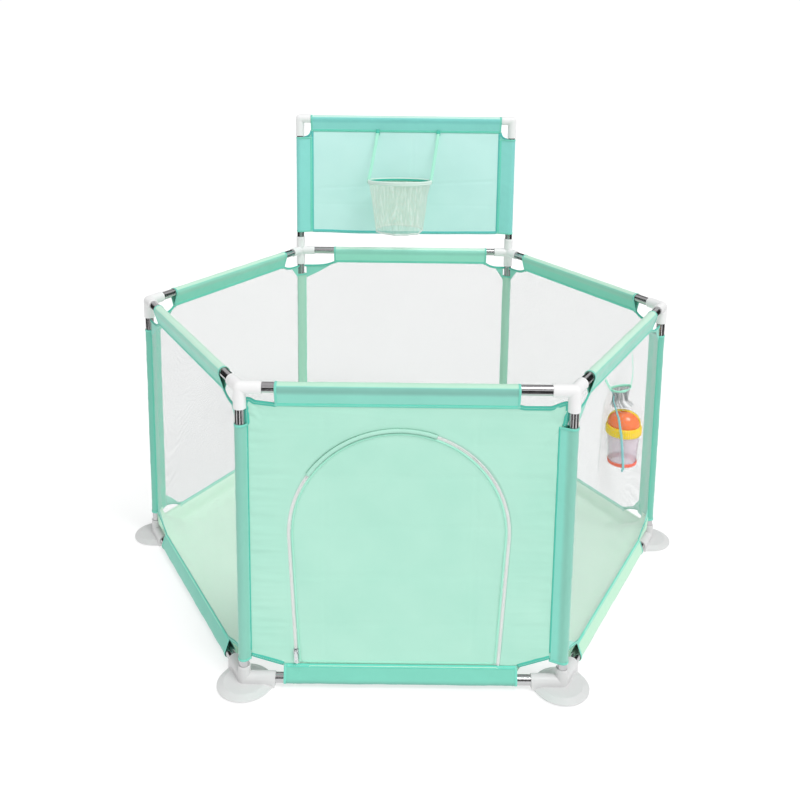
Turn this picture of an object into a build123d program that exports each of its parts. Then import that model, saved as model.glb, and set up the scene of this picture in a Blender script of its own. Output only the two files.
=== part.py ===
from build123d import *
from math import cos, radians, sin, tan
import os

# A six-sided fabric playpen: steel tubes in white plastic corners, mesh and fabric walls on sleeves,
# a zipped doorway at the front, a backboard with a net hoop at the back and a cup in a hanging pocket.
# Millimetres, +Z up. The origin is on the floor under the middle of the pen, and the doorway faces -Y.

# ---- Frame ----
CORNER_RADIUS = 630.0  # from the middle of the pen to each post, and so also from post to post
APOTHEM = CORNER_RADIUS * cos(radians(30))
HALF_SIDE = CORNER_RADIUS / 2
TOP_RAIL_Z = 624.5
BOTTOM_RAIL_Z = 17.0
BACKBOARD_RAIL_Z = 1024.5
TUBE_RADIUS = 10.0
TUBE_WALL = 1.0
TUBE_START = 14.0  # from the middle of a corner to the end of each tube in it
OVERCUT = 1.0  # how far a cut runs past the face that it opens

SIDES = {"front": -90, "front_right": -30, "back_right": 30, "back": 90}
SIDES |= {"back_left": 150, "front_left": 210}
CORNERS = {"front_left": -120, "front_right": -60, "right": 0}
CORNERS |= {"back_right": 60, "back_left": 120, "left": 180}
BACK_CORNERS = ("back_left", "back_right")

# ---- Plastic corners ----
SOCKET_RADIUS = 12.5
BORE_RADIUS = 10.05
BORE_START = 13.8
TOP_REACH = 42.0  # from the middle of a top corner to the mouth of each of its sockets
FOOT_REACH = 62.0  # the same along the arms of a foot
FOOT_STEM_REACH = 28.0
ELBOW_REACH = 32.0
ELBOW_DROP = 51.0
MOUTH_CHAMFER = 0.9
PLATE_RADIUS = 55.0
PLATE_BOTTOM_Z = 3.0
PLATE_EDGE = 2.5
PLATE_DOME = 5.5
PLATE_SLOPE = 13.0  # how far the top of the dome is set in from the edge
CUP_RADIUS = 38.0
CUP_LIP = 10.0
CUP_DISH = 1.5
CUP_STUD_RADIUS = 5.0
CUP_STUD_HEIGHT = 9.0
STUD_GAP = 0.05

# ---- Sleeves and walls ----
SLEEVE_INNER = 10.4
SLEEVE_OUTER = 11.6
BAND = 1.6  # two layers of fabric between the tube and the seam
TOP_SEAM_Z = 587.5
BOTTOM_SEAM_Z = 45.0
SLEEVE_LENGTH = 462.0
FRONT_TOP_SHIFT = -18.0  # the front sleeve has slid along its rail
FRONT_BOTTOM_SHIFT = -5.5
POST_SLEEVE_BOTTOM_Z = 52.0
POST_SLEEVE_TOP_Z = 552.5
SHEET = 1.2
WALL_POST_GAP = 0.2
WALL_HALF_WIDTH = HALF_SIDE - SLEEVE_OUTER - WALL_POST_GAP
WALL_CORNER_BOTTOM_Z = 69.0  # where the cut corners of a wall meet its posts
WALL_CORNER_TOP_Z = 569.0
FLOOR_Z = 3.6
FLOOR_APOTHEM = 540.0
FLOOR_CORNER_CUT = 72.0

# ---- Doorway ----
DOOR_X = -12.0
DOOR_ARCH_Z = 327.0
DOOR_RADIUS = 213.0
DOOR_LEAN = 2.9  # degrees that each leg of the zip leans inward towards the floor
ZIP_HALF_WIDTH = 2.5
ZIP_THICKNESS = 2.4
ZIP_BOTTOM_Z = 48.0
WALL_GAP = 0.1
FLAP_EDGE = 5.3  # from the middle of the zip to the edge of the flap, clear of the slider
FLAP_BOTTOM_Z = 49.6
SLIDER_Z = 76.0
SLIDER_HALF_WIDTH = 4.5
SLIDER_HEIGHT = 12.0
SLIDER_PLATE = 1.2
ROUNDED = 1.5  # corner radius of the slider and the pull
SLIDER_MOUTH = 1.5  # from the plane of the zip to the inside of each plate
SLIDER_WEB_START = 2.8
PIN_RADIUS = 0.8
EYE_BORE = 0.88
EYE_RADIUS = 1.9
EYE_HALF_WIDTH = 2.0
PIN_UP = 3.0  # from the middle of the slider up to the pin
EYE_GAP = 0.5
PIN_OUT = SLIDER_MOUTH + SLIDER_PLATE + EYE_GAP + EYE_RADIUS
LUG_START, LUG_END = 2.4, 3.6
PULL_LENGTH = 25.0
PULL_NECK = 6.0
PULL_NECK_DROP = 1.0  # from the pin down to the top of the neck
PULL_HALF_WIDTH = 3.5
PULL_THICKNESS = 1.4
PULL_HOLE_RADIUS = 1.6

# ---- Backboard and hoop ----
BOARD_BOTTOM_Z = 682.0
BOARD_SLEEVE_TOP_Z = 972.0
BOARD_TOP_SEAM_Z = 987.0
BOARD_SIDE_SEAM_X = 278.0
BOARD_TOP_SLEEVE_LENGTH = 565.0
LIFT_GAP = 0.3  # under each backboard post, which lifts out of its corner
HOOP_X = -17.0
HOOP_Z = 856.0
RIM_RADIUS = 90.0
WIRE_RADIUS = 3.0
RIM_GAP = 4.0  # between the rim and the backboard
HOOP_Y = APOTHEM - SHEET / 2 - RIM_GAP - RIM_RADIUS - WIRE_RADIUS
NET_BOTTOM_RADIUS = 70.0
NET_BOTTOM_Z = 709.0
NET_WALL = 2.0
NET_GAP = 0.2
RIBBON_TOP_Z = 987.0
RIBBON_TOP_Y = APOTHEM - 4.5
RIBBON_LIFT = 1.5  # from the top of the rim to the foot of each ribbon
RIBBON_TOP_OFFSET = 23.0  # how far each ribbon slants sideways on its way up
RIBBON_WIDTH = 8.0
RIBBON_THICKNESS = 1.0

# ---- Pocket and cup, in the frame of the front right side: along, out, up ----
POCKET_ALONG = -40.0
POCKET_OUT = 20.0
POCKET_BOTTOM_Z = 368.0
POCKET_TOP_Z = 540.0
POCKET_BOTTOM_RADIUS = 38.0
POCKET_TOP_RADIUS = 46.0
POCKET_WALL = 1.5
POCKET_RIBBON_TOP_Z = 585.0
POCKET_RIBBON_SPREAD = 95.0
POCKET_RIBBON_OUT = 5.0
DENT_HALF_WIDTH = 58.0  # the mesh behind the pocket is pushed in by it
DENT_DEPTH = 33.0
DENT_BOTTOM_Z = 325.0
DENT_TOP_Z = 567.0
BODY_BOTTOM_Z = 370.0
BODY_HEIGHT = 70.0
BODY_BOTTOM_RADIUS = 30.0
BODY_TOP_RADIUS = 35.0
BODY_WALL = 2.0
COLLAR_RADIUS = 38.5
COLLAR_HEIGHT = 18.0
COLLAR_BORE = 27.0
LID_RADIUS = 33.0
LID_HEIGHT = 29.0
LID_WALL = 2.0
LID_SKIRT = 5.0
LID_GAP = 0.3
LID_FLANGE = 1.2  # joins the dome to the skirt inside the collar

os.makedirs("parts", exist_ok=True)


def save(part, name):
    """Labels a finished piece and writes its STEP file."""
    part.label = name
    export_step(part, f"parts/{name}.step")


def direction(angle):
    """Level unit vector at an angle in degrees from +X."""
    return Vector(cos(radians(angle)), sin(radians(angle)), 0)


def corner_point(angle, height):
    """Middle of the corner at angle, at a height."""
    return direction(angle) * CORNER_RADIUS + Vector(0, 0, height)


def side_point(angle, along, out, height):
    """A point given in the frame of the side that faces angle."""
    return direction(angle) * (APOTHEM + out) + direction(angle + 90) * along + Vector(0, 0, height)


def side_plane(angle, out=0.0):
    """Plane of the side that faces angle: x along it, y up and z out of the pen, from the floor."""
    return Plane(origin=side_point(angle, 0, out, 0), x_dir=direction(angle + 90), z_dir=direction(angle))


def rail_plane(angle, along, height):
    """Plane across a rail: x out of the pen, y down and z along the rail."""
    origin = side_point(angle, along, 0, height)
    return Plane(origin=origin, x_dir=direction(angle), z_dir=direction(angle + 90))


def tube(start, end):
    """A steel tube from one point to another."""
    axis = end - start
    with BuildPart() as made:
        with BuildSketch(Plane(origin=start, z_dir=axis)):
            Circle(TUBE_RADIUS)
            Circle(TUBE_RADIUS - TUBE_WALL, mode=Mode.SUBTRACT)
        extrude(amount=axis.length)
    return made.part


# ---- Rails and posts ----
rail_half_length = HALF_SIDE - TUBE_START
for side, angle in SIDES.items():
    for level, height in (("top", TOP_RAIL_Z), ("bottom", BOTTOM_RAIL_Z)):
        ends = [side_point(angle, along, 0, height) for along in (-rail_half_length, rail_half_length)]
        save(tube(*ends), f"{level}_rail_{side}")
for corner, angle in CORNERS.items():
    bottom = corner_point(angle, BOTTOM_RAIL_Z + TUBE_START)
    top = corner_point(angle, TOP_RAIL_Z - TUBE_START)
    save(tube(bottom, top), f"post_{corner}")


# ---- Connectors ----
def socket(middle, axis, reach):
    """A solid round arm that runs from middle along axis, with a chamfered mouth."""
    with BuildPart() as made:
        with BuildSketch(Plane(origin=middle, z_dir=axis)):
            Circle(SOCKET_RADIUS)
        extrude(amount=reach)
        mouth = made.edges().filter_by(GeomType.CIRCLE).sort_by(Axis(middle, axis))[-1]
        chamfer(mouth, MOUTH_CHAMFER)
    return made.part


def bore(middle, axis, reach):
    """The blind bore that a tube sits in, as the space to cut away."""
    with BuildPart() as made:
        with BuildSketch(Plane(origin=middle + axis * BORE_START, z_dir=axis)):
            Circle(BORE_RADIUS)
        extrude(amount=reach - BORE_START + OVERCUT)
    return made.part


def connector(middle, arms):
    """A plain connector with a socket for each (axis, reach) in arms."""
    with BuildPart() as made:
        with Locations(middle):
            Sphere(SOCKET_RADIUS)
        for axis, reach in arms:
            add(socket(middle, axis, reach))
        for axis, reach in arms:
            add(bore(middle, axis, reach), mode=Mode.SUBTRACT)
    return made.part


UP, DOWN = Vector(0, 0, 1), Vector(0, 0, -1)
for corner, angle in CORNERS.items():
    arms = [(direction(angle + 120), TOP_REACH), (direction(angle - 120), TOP_REACH), (DOWN, TOP_REACH)]
    if corner in BACK_CORNERS:
        arms.append((UP, TOP_REACH))
    save(connector(corner_point(angle, TOP_RAIL_Z), arms), f"top_corner_{corner}")


def foot_outline(plane, rails, inset):
    """The outline of a foot's plate: a disc drawn out to the ends of its two arms, less an inset."""
    with BuildSketch(plane) as outline:
        Circle(PLATE_RADIUS - inset)
        with Locations([axis * (FOOT_REACH - SOCKET_RADIUS - inset / 2) for axis in rails]):
            Circle(SOCKET_RADIUS - inset / 2)
        make_hull()
    return outline.sketch


def foot(angle):
    """A foot corner: a domed plate with two arms for the bottom rails and a stem for the post."""
    middle = corner_point(angle, BOTTOM_RAIL_Z)
    rails = [direction(angle + 120), direction(angle - 120)]
    outline_plane = Plane(origin=corner_point(angle, PLATE_BOTTOM_Z))
    with BuildPart() as made:
        extrude(foot_outline(outline_plane, rails, 0), amount=PLATE_EDGE)
        edge_top = foot_outline(outline_plane.offset(PLATE_EDGE), rails, 0)
        dome_top = foot_outline(outline_plane.offset(PLATE_EDGE + PLATE_DOME), rails, PLATE_SLOPE)
        loft([edge_top, dome_top])
        with Locations(middle):
            Sphere(SOCKET_RADIUS)
        for axis in rails:
            add(socket(middle, axis, FOOT_REACH))
            arm_plane = Plane(origin=middle, x_dir=axis, z_dir=UP)
            with BuildSketch(arm_plane.offset(PLATE_BOTTOM_Z - BOTTOM_RAIL_Z)):
                with Locations(((FOOT_REACH - MOUTH_CHAMFER) / 2, 0)):
                    Rectangle(FOOT_REACH - MOUTH_CHAMFER, 2 * SOCKET_RADIUS)
            extrude(amount=BOTTOM_RAIL_Z - PLATE_BOTTOM_Z)
        add(socket(middle, UP, FOOT_STEM_REACH))
        with BuildSketch(outline_plane):
            Circle(SOCKET_RADIUS)
        extrude(amount=BOTTOM_RAIL_Z - PLATE_BOTTOM_Z)
        for axis, reach in [(axis, FOOT_REACH) for axis in rails] + [(UP, FOOT_STEM_REACH)]:
            add(bore(middle, axis, reach), mode=Mode.SUBTRACT)
        with BuildSketch(outline_plane):
            Circle(CUP_STUD_RADIUS + STUD_GAP)
        extrude(amount=CUP_STUD_HEIGHT + STUD_GAP, mode=Mode.SUBTRACT)
    return made.part


for corner, angle in CORNERS.items():
    save(foot(angle), f"foot_corner_{corner}")

with BuildPart() as suction_cups:
    for angle in CORNERS.values():
        floor_plane = Plane(origin=corner_point(angle, 0))
        with BuildSketch(floor_plane):
            Circle(CUP_RADIUS)
        extrude(amount=PLATE_BOTTOM_Z)
        with BuildSketch(floor_plane):
            Circle(CUP_RADIUS - CUP_LIP)
        extrude(amount=CUP_DISH, mode=Mode.SUBTRACT)
        with BuildSketch(floor_plane.offset(PLATE_BOTTOM_Z)):
            Circle(CUP_STUD_RADIUS)
        extrude(amount=CUP_STUD_HEIGHT)
save(suction_cups.part, "suction_cups")


# ---- Sleeves ----
def sleeve(plane, seam, length):
    """A sleeve round a tube that runs along the plane's z, with its band out to seam along its y."""
    with BuildPart() as made:
        with BuildSketch(plane):
            Circle(SLEEVE_OUTER)
            with Locations((0, seam / 2)):
                Rectangle(BAND, abs(seam))
            Circle(SLEEVE_INNER, mode=Mode.SUBTRACT)
        extrude(amount=length)
    return made.part


for level, height, seam, front_shift in (
    ("top", TOP_RAIL_Z, TOP_RAIL_Z - TOP_SEAM_Z, FRONT_TOP_SHIFT),
    ("bottom", BOTTOM_RAIL_Z, BOTTOM_RAIL_Z - BOTTOM_SEAM_Z, FRONT_BOTTOM_SHIFT),
):
    with BuildPart() as sleeves:
        for side, angle in SIDES.items():
            shift = front_shift if side == "front" else 0.0
            add(sleeve(rail_plane(angle, shift - SLEEVE_LENGTH / 2, height), seam, SLEEVE_LENGTH))
    save(sleeves.part, f"{level}_sleeves")

with BuildPart() as post_sleeves:
    for angle in CORNERS.values():
        with BuildSketch(Plane(origin=corner_point(angle, POST_SLEEVE_BOTTOM_Z))):
            Circle(SLEEVE_OUTER)
            Circle(SLEEVE_INNER, mode=Mode.SUBTRACT)
        extrude(amount=POST_SLEEVE_TOP_Z - POST_SLEEVE_BOTTOM_Z)
save(post_sleeves.part, "post_sleeves")


# ---- Walls and floor ----
def wall_outline(plane):
    """A wall's outline, with its corners cut off to clear the connectors."""
    half = SLEEVE_LENGTH / 2
    with BuildSketch(plane) as outline:
        with BuildLine():
            Polyline(
                (half, BOTTOM_SEAM_Z),
                (WALL_HALF_WIDTH, WALL_CORNER_BOTTOM_Z),
                (WALL_HALF_WIDTH, WALL_CORNER_TOP_Z),
                (half, TOP_SEAM_Z),
                (-half, TOP_SEAM_Z),
                (-WALL_HALF_WIDTH, WALL_CORNER_TOP_Z),
                (-WALL_HALF_WIDTH, WALL_CORNER_BOTTOM_Z),
                (-half, BOTTOM_SEAM_Z),
                close=True,
            )
        make_face()
    return outline.sketch


def arch_outline(plane, offset_out, bottom_z):
    """The doorway's arch, offset outward from the middle of the zip and closed at bottom_z."""
    lean = radians(DOOR_LEAN)
    radius = DOOR_RADIUS + offset_out
    spring_x, spring_z = radius * cos(lean), DOOR_ARCH_Z - radius * sin(lean)
    foot_x = spring_x - (spring_z - bottom_z) * tan(lean)
    left_spring, right_spring = (DOOR_X - spring_x, spring_z), (DOOR_X + spring_x, spring_z)
    with BuildSketch(plane) as outline:
        with BuildLine():
            ThreePointArc(right_spring, (DOOR_X, DOOR_ARCH_Z + radius), left_spring)
            Polyline(left_spring, (DOOR_X - foot_x, bottom_z), (DOOR_X + foot_x, bottom_z), right_spring)
        make_face()
    return outline.sketch


for side, angle in SIDES.items():
    with BuildPart() as wall:
        wall_back = side_plane(angle, -SHEET / 2)
        extrude(wall_outline(wall_back), amount=SHEET)
        if side == "front":
            doorway = arch_outline(wall_back, ZIP_HALF_WIDTH + WALL_GAP, BOTTOM_SEAM_Z - OVERCUT)
            extrude(doorway, amount=SHEET, mode=Mode.SUBTRACT)
        if side == "front_right":
            dent_middle = (POCKET_ALONG, (DENT_BOTTOM_Z + DENT_TOP_Z) / 2)
            dent_size = (2 * DENT_HALF_WIDTH, DENT_TOP_Z - DENT_BOTTOM_Z)
            with BuildSketch(side_plane(angle, SHEET / 2)):
                with Locations(dent_middle):
                    Rectangle(*dent_size)
            extrude(amount=-(DENT_DEPTH + SHEET / 2))
            with BuildSketch(side_plane(angle, SHEET / 2)):
                with Locations(dent_middle):
                    Rectangle(*(size - 2 * SHEET for size in dent_size))
            extrude(amount=-(DENT_DEPTH - SHEET / 2), mode=Mode.SUBTRACT)
    save(wall.part, f"wall_{side}")

with BuildPart() as floor_sheet:
    with BuildSketch(Plane.XY.offset(FLOOR_Z)):
        RegularPolygon(FLOOR_APOTHEM / cos(radians(30)), 6)
        with Locations([corner_point(angle, 0) for angle in CORNERS.values()]):
            Circle(FLOOR_CORNER_CUT, mode=Mode.SUBTRACT)
    extrude(amount=SHEET)
save(floor_sheet.part, "floor_sheet")

# ---- Doorway ----
front_plane = side_plane(SIDES["front"])
zip_plane = front_plane.offset(-ZIP_THICKNESS / 2)
with BuildPart() as door_zip:
    extrude(arch_outline(zip_plane, ZIP_HALF_WIDTH, ZIP_BOTTOM_Z), amount=ZIP_THICKNESS)
    inside = arch_outline(zip_plane, -ZIP_HALF_WIDTH, ZIP_BOTTOM_Z - OVERCUT)
    extrude(inside, amount=ZIP_THICKNESS, mode=Mode.SUBTRACT)
save(door_zip.part, "door_zip")

with BuildPart() as door_flap:
    flap_outline = arch_outline(front_plane.offset(-SHEET / 2), -FLAP_EDGE, FLAP_BOTTOM_Z)
    extrude(flap_outline, amount=SHEET)
save(door_flap.part, "door_flap")

# The slider's plane lies on the left leg of the zip: x towards the flap, y up the zip, z outward.
lean = radians(DOOR_LEAN)
leg_x = DOOR_X - DOOR_RADIUS / cos(lean) + (DOOR_ARCH_Z - SLIDER_Z) * tan(lean)
slider_plane = Plane(
    origin=(leg_x, -APOTHEM, SLIDER_Z), x_dir=Vector(cos(lean), 0, sin(lean)), z_dir=Vector(0, -1, 0)
)


def pin_plane(along):
    """Plane across the slider's pin at a distance along it: x outward and y up the zip."""
    origin = slider_plane.from_local_coords(Vector(along, PIN_UP, PIN_OUT))
    return Plane(origin=origin, x_dir=slider_plane.y_dir, z_dir=slider_plane.x_dir)


with BuildPart() as zip_slider:
    depth = SLIDER_MOUTH + SLIDER_PLATE
    with BuildSketch(slider_plane.offset(-depth)):
        RectangleRounded(2 * SLIDER_HALF_WIDTH, SLIDER_HEIGHT, ROUNDED)
    extrude(amount=2 * depth)
    channel_left = -SLIDER_HALF_WIDTH - OVERCUT
    with BuildSketch(slider_plane.offset(-SLIDER_MOUTH)):
        with Locations(((channel_left + SLIDER_WEB_START) / 2, 0)):
            Rectangle(SLIDER_WEB_START - channel_left, SLIDER_HEIGHT + 2 * OVERCUT)
    extrude(amount=2 * SLIDER_MOUTH, mode=Mode.SUBTRACT)
    for start in (-LUG_END, LUG_START):
        with BuildSketch(pin_plane(start)):
            Circle(EYE_RADIUS)
            with Locations((0, (depth - PIN_OUT) / 2)):
                Rectangle(2 * EYE_RADIUS, PIN_OUT - depth)
        extrude(amount=LUG_END - LUG_START)
    with BuildSketch(pin_plane(-LUG_END)):
        Circle(PIN_RADIUS)
    extrude(amount=2 * LUG_END)
save(zip_slider.part, "zip_slider")

with BuildPart() as zip_pull:
    with BuildSketch(pin_plane(-EYE_HALF_WIDTH)):
        Circle(EYE_RADIUS)
    extrude(amount=2 * EYE_HALF_WIDTH)
    with BuildSketch(slider_plane.offset(PIN_OUT - PULL_THICKNESS / 2)):
        with Locations((0, PIN_UP - PULL_NECK / 2 - PULL_NECK_DROP)):
            Rectangle(2 * EYE_HALF_WIDTH, PULL_NECK)
        with Locations((0, PIN_UP - (PULL_NECK + PULL_LENGTH) / 2)):
            RectangleRounded(2 * PULL_HALF_WIDTH, PULL_LENGTH - PULL_NECK, ROUNDED)
        with Locations((0, PIN_UP - PULL_LENGTH + 2 * PULL_HOLE_RADIUS)):
            Circle(PULL_HOLE_RADIUS, mode=Mode.SUBTRACT)
    extrude(amount=PULL_THICKNESS)
    with BuildSketch(pin_plane(-EYE_HALF_WIDTH)):
        Circle(EYE_BORE)
    extrude(amount=2 * EYE_HALF_WIDTH, mode=Mode.SUBTRACT)
save(zip_pull.part, "zip_pull")

# ---- Backboard ----
back_plane = side_plane(SIDES["back"])
for name, x, inward in (("left", -HALF_SIDE, Vector(1, 0, 0)), ("right", HALF_SIDE, Vector(-1, 0, 0))):
    bottom = Vector(x, APOTHEM, TOP_RAIL_Z + BORE_START + LIFT_GAP)
    top = Vector(x, APOTHEM, BACKBOARD_RAIL_Z - TUBE_START)
    save(tube(bottom, top), f"backboard_post_{name}")
    middle = Vector(x, APOTHEM, BACKBOARD_RAIL_Z)
    save(connector(middle, [(inward, ELBOW_REACH), (DOWN, ELBOW_DROP)]), f"backboard_elbow_{name}")
rail_ends = [Vector(x, APOTHEM, BACKBOARD_RAIL_Z) for x in (-rail_half_length, rail_half_length)]
save(tube(*rail_ends), "backboard_rail")

with BuildPart() as backboard_sleeves:
    top_plane = rail_plane(SIDES["back"], -BOARD_TOP_SLEEVE_LENGTH / 2, BACKBOARD_RAIL_Z)
    add(sleeve(top_plane, BACKBOARD_RAIL_Z - BOARD_TOP_SEAM_Z, BOARD_TOP_SLEEVE_LENGTH))
    for x, side_sign in ((-HALF_SIDE, -1), (HALF_SIDE, 1)):
        post_plane = Plane(origin=(x, APOTHEM, BOARD_BOTTOM_Z), x_dir=(0, 1, 0), z_dir=(0, 0, 1))
        band_reach = side_sign * (HALF_SIDE - BOARD_SIDE_SEAM_X)
        add(sleeve(post_plane, band_reach, BOARD_SLEEVE_TOP_Z - BOARD_BOTTOM_Z))
save(backboard_sleeves.part, "backboard_sleeves")

with BuildPart() as backboard_sheet:
    with BuildSketch(back_plane.offset(-SHEET / 2)):
        with Locations((0, (BOARD_BOTTOM_Z + BOARD_TOP_SEAM_Z) / 2)):
            Rectangle(2 * BOARD_SIDE_SEAM_X, BOARD_TOP_SEAM_Z - BOARD_BOTTOM_Z)
    extrude(amount=SHEET)
save(backboard_sheet.part, "backboard_sheet")

# ---- Hoop ----
hoop_middle = Vector(HOOP_X, HOOP_Y, HOOP_Z)
with BuildPart() as hoop_rim:
    with Locations(hoop_middle):
        Torus(RIM_RADIUS, WIRE_RADIUS)
save(hoop_rim.part, "hoop_rim")

with BuildPart() as hoop_net:
    net_top_z = HOOP_Z - WIRE_RADIUS - NET_GAP
    for inset, mode in ((0, Mode.ADD), (NET_WALL, Mode.SUBTRACT)):
        for height, radius in ((NET_BOTTOM_Z, NET_BOTTOM_RADIUS), (net_top_z, RIM_RADIUS)):
            with BuildSketch(Plane(origin=(HOOP_X, HOOP_Y, height))):
                Circle(radius - inset)
        loft(mode=mode)
save(hoop_net.part, "hoop_net")


def ribbon(start, end, width_axis):
    """A flat ribbon from one point to another."""
    along = end - start
    with BuildPart() as made:
        with BuildSketch(Plane(origin=start, x_dir=width_axis, z_dir=along)):
            Rectangle(RIBBON_WIDTH, RIBBON_THICKNESS)
        extrude(amount=along.length)
    return made.part


with BuildPart() as hoop_ribbons:
    for side_sign in (-1, 1):
        low = hoop_middle + Vector(side_sign * RIM_RADIUS, 0, WIRE_RADIUS + RIBBON_LIFT)
        high = Vector(low.X + RIBBON_TOP_OFFSET, RIBBON_TOP_Y, RIBBON_TOP_Z)
        add(ribbon(low, high, Vector(1, 0, 0)))
save(hoop_ribbons.part, "hoop_ribbons")

# ---- Pocket and cup ----
pocket_side = SIDES["front_right"]


def pocket_plane(height):
    """Level plane at a height, centred on the pocket's axis, with x along the side."""
    return Plane(
        origin=side_point(pocket_side, POCKET_ALONG, POCKET_OUT, height), x_dir=direction(pocket_side + 90)
    )


with BuildPart() as pocket:
    for lift, inset, mode in ((0, 0, Mode.ADD), (POCKET_WALL, POCKET_WALL, Mode.SUBTRACT)):
        with BuildSketch(pocket_plane(POCKET_BOTTOM_Z + lift)):
            Circle(POCKET_BOTTOM_RADIUS - inset)
        with BuildSketch(pocket_plane(POCKET_TOP_Z)):
            Circle(POCKET_TOP_RADIUS - inset)
        loft(mode=mode)
save(pocket.part, "pocket")

with BuildPart() as pocket_ribbons:
    for side_sign in (-1, 1):
        low = side_point(
            pocket_side,
            POCKET_ALONG + side_sign * POCKET_TOP_RADIUS,
            POCKET_OUT,
            POCKET_TOP_Z + RIBBON_WIDTH / 2,
        )
        high = side_point(
            pocket_side,
            POCKET_ALONG + side_sign * POCKET_RIBBON_SPREAD,
            POCKET_RIBBON_OUT,
            POCKET_RIBBON_TOP_Z,
        )
        add(ribbon(low, high, direction(pocket_side + 90)))
save(pocket_ribbons.part, "pocket_ribbons")

body_top_z = BODY_BOTTOM_Z + BODY_HEIGHT
with BuildPart() as cup_body:
    for lift, inset, mode in ((0, 0, Mode.ADD), (BODY_WALL, BODY_WALL, Mode.SUBTRACT)):
        with BuildSketch(pocket_plane(BODY_BOTTOM_Z + lift)):
            Circle(BODY_BOTTOM_RADIUS - inset)
        with BuildSketch(pocket_plane(body_top_z)):
            Circle(BODY_TOP_RADIUS - inset)
        loft(mode=mode)
save(cup_body.part, "cup_body")

with BuildPart() as cup_collar:
    with BuildSketch(pocket_plane(body_top_z)):
        Circle(COLLAR_RADIUS)
        Circle(COLLAR_BORE, mode=Mode.SUBTRACT)
    extrude(amount=COLLAR_HEIGHT)
save(cup_collar.part, "cup_collar")

with BuildPart() as cup_lid:
    lid_z = body_top_z + COLLAR_HEIGHT + LID_GAP
    dome_radius = (LID_RADIUS**2 + LID_HEIGHT**2) / (2 * LID_HEIGHT)
    dome_middle = side_point(pocket_side, POCKET_ALONG, POCKET_OUT, lid_z + LID_HEIGHT - dome_radius)
    with Locations(dome_middle):
        Sphere(dome_radius)
        Sphere(dome_radius - LID_WALL, mode=Mode.SUBTRACT)
    split(bisect_by=Plane.XY.offset(lid_z), keep=Keep.TOP)
    with BuildSketch(pocket_plane(lid_z - LID_GAP - LID_SKIRT)):
        Circle(COLLAR_BORE - LID_GAP)
        Circle(COLLAR_BORE - LID_GAP - LID_WALL, mode=Mode.SUBTRACT)
    extrude(amount=LID_SKIRT + LID_GAP + LID_FLANGE)
    with BuildSketch(pocket_plane(lid_z)):
        Circle(LID_RADIUS - LID_WALL / 2)
        Circle(COLLAR_BORE - LID_GAP - LID_WALL, mode=Mode.SUBTRACT)
    extrude(amount=LID_FLANGE)
save(cup_lid.part, "cup_lid")
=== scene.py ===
import math

import bmesh
import bpy
from mathutils import Matrix, Vector, noise


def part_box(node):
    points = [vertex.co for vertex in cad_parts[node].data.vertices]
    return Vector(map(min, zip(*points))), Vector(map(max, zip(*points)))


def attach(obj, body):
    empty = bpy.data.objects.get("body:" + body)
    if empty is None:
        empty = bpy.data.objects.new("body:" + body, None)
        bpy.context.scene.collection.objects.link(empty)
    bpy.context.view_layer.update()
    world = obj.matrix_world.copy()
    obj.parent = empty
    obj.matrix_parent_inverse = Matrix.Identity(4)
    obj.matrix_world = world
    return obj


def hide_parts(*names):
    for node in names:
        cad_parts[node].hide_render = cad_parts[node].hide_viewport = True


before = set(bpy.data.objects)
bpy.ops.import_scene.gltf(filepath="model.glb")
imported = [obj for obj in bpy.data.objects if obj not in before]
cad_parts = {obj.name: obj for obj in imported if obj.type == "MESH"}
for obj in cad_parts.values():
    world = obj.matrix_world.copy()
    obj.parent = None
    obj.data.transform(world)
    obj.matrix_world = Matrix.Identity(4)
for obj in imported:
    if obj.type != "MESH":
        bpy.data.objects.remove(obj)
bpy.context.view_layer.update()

# ---- Places, read from the frame ----
MM = 0.001
UP, DOWN, FRONT = Vector((0, 0, 1)), Vector((0, 0, -1)), Vector((0, -1, 0))
SIDES = {"front": -90, "front_right": -30, "back_right": 30, "back": 90, "back_left": 150, "front_left": 210}
CORNERS = {"front_left": -120, "front_right": -60, "right": 0, "back_right": 60, "back_left": 120, "left": 180}


def middle(node):
    low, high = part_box(node)
    return (low + high) / 2


APOTHEM = -middle("top_rail_front").y
CORNER_RADIUS = middle("post_right").x
HALF_SIDE = CORNER_RADIUS / 2
TOP_Z = middle("top_rail_front").z
BOTTOM_Z = middle("bottom_rail_front").z
BOARD_RAIL_Z = middle("backboard_rail").z
TUBE_RADIUS = (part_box("top_rail_front")[1].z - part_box("top_rail_front")[0].z) / 2

# ---- Sizes of the cloth, in metres ----
CLOTH = 0.5 * MM  # thickness of one layer
SLEEVE_RADIUS = TUBE_RADIUS + 0.9 * MM
TOP_SEAM_Z = 587.5 * MM
BOTTOM_SEAM_Z = 48 * MM
SLEEVE_LENGTH = 462 * MM
TOP_SHIFT = {"front": -18 * MM, "back": -17.5 * MM}  # sleeves that have slid along their rails
BOTTOM_SHIFT = {"front": -5.5 * MM}
POST_SLEEVE_BOTTOM, POST_SLEEVE_TOP = 52 * MM, 552.5 * MM
POST_SLEEVE_LIFT = {"front_left": 6 * MM, "front_right": 6 * MM, "left": 14 * MM, "right": 8 * MM}
NARROW_SEAM = 14 * MM  # from a post's axis to its seam with a wall, where SEAMS gives no other
SEAMS = {("front", 1): 26 * MM, ("back_left", 1): 35 * MM, ("back_right", -1): 36 * MM, ("back", 1): 17 * MM}
WALL_POST_BOTTOM = 68 * MM  # where the cut corners of a wall meet its posts
WALL_POST_TOP = 576 * MM
GUSSET_FOOT = 539 * MM
GUSSET_RISE = 26 * MM
LONG_GUSSETS = {("back", 1), ("back_left", 1), ("front_left", -1), ("front_right", -1)}
BINDING = 6 * MM
FRONT_BINDING = 9 * MM
DOOR_X = -12 * MM
DOOR_ARCH_Z = 327 * MM
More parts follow.
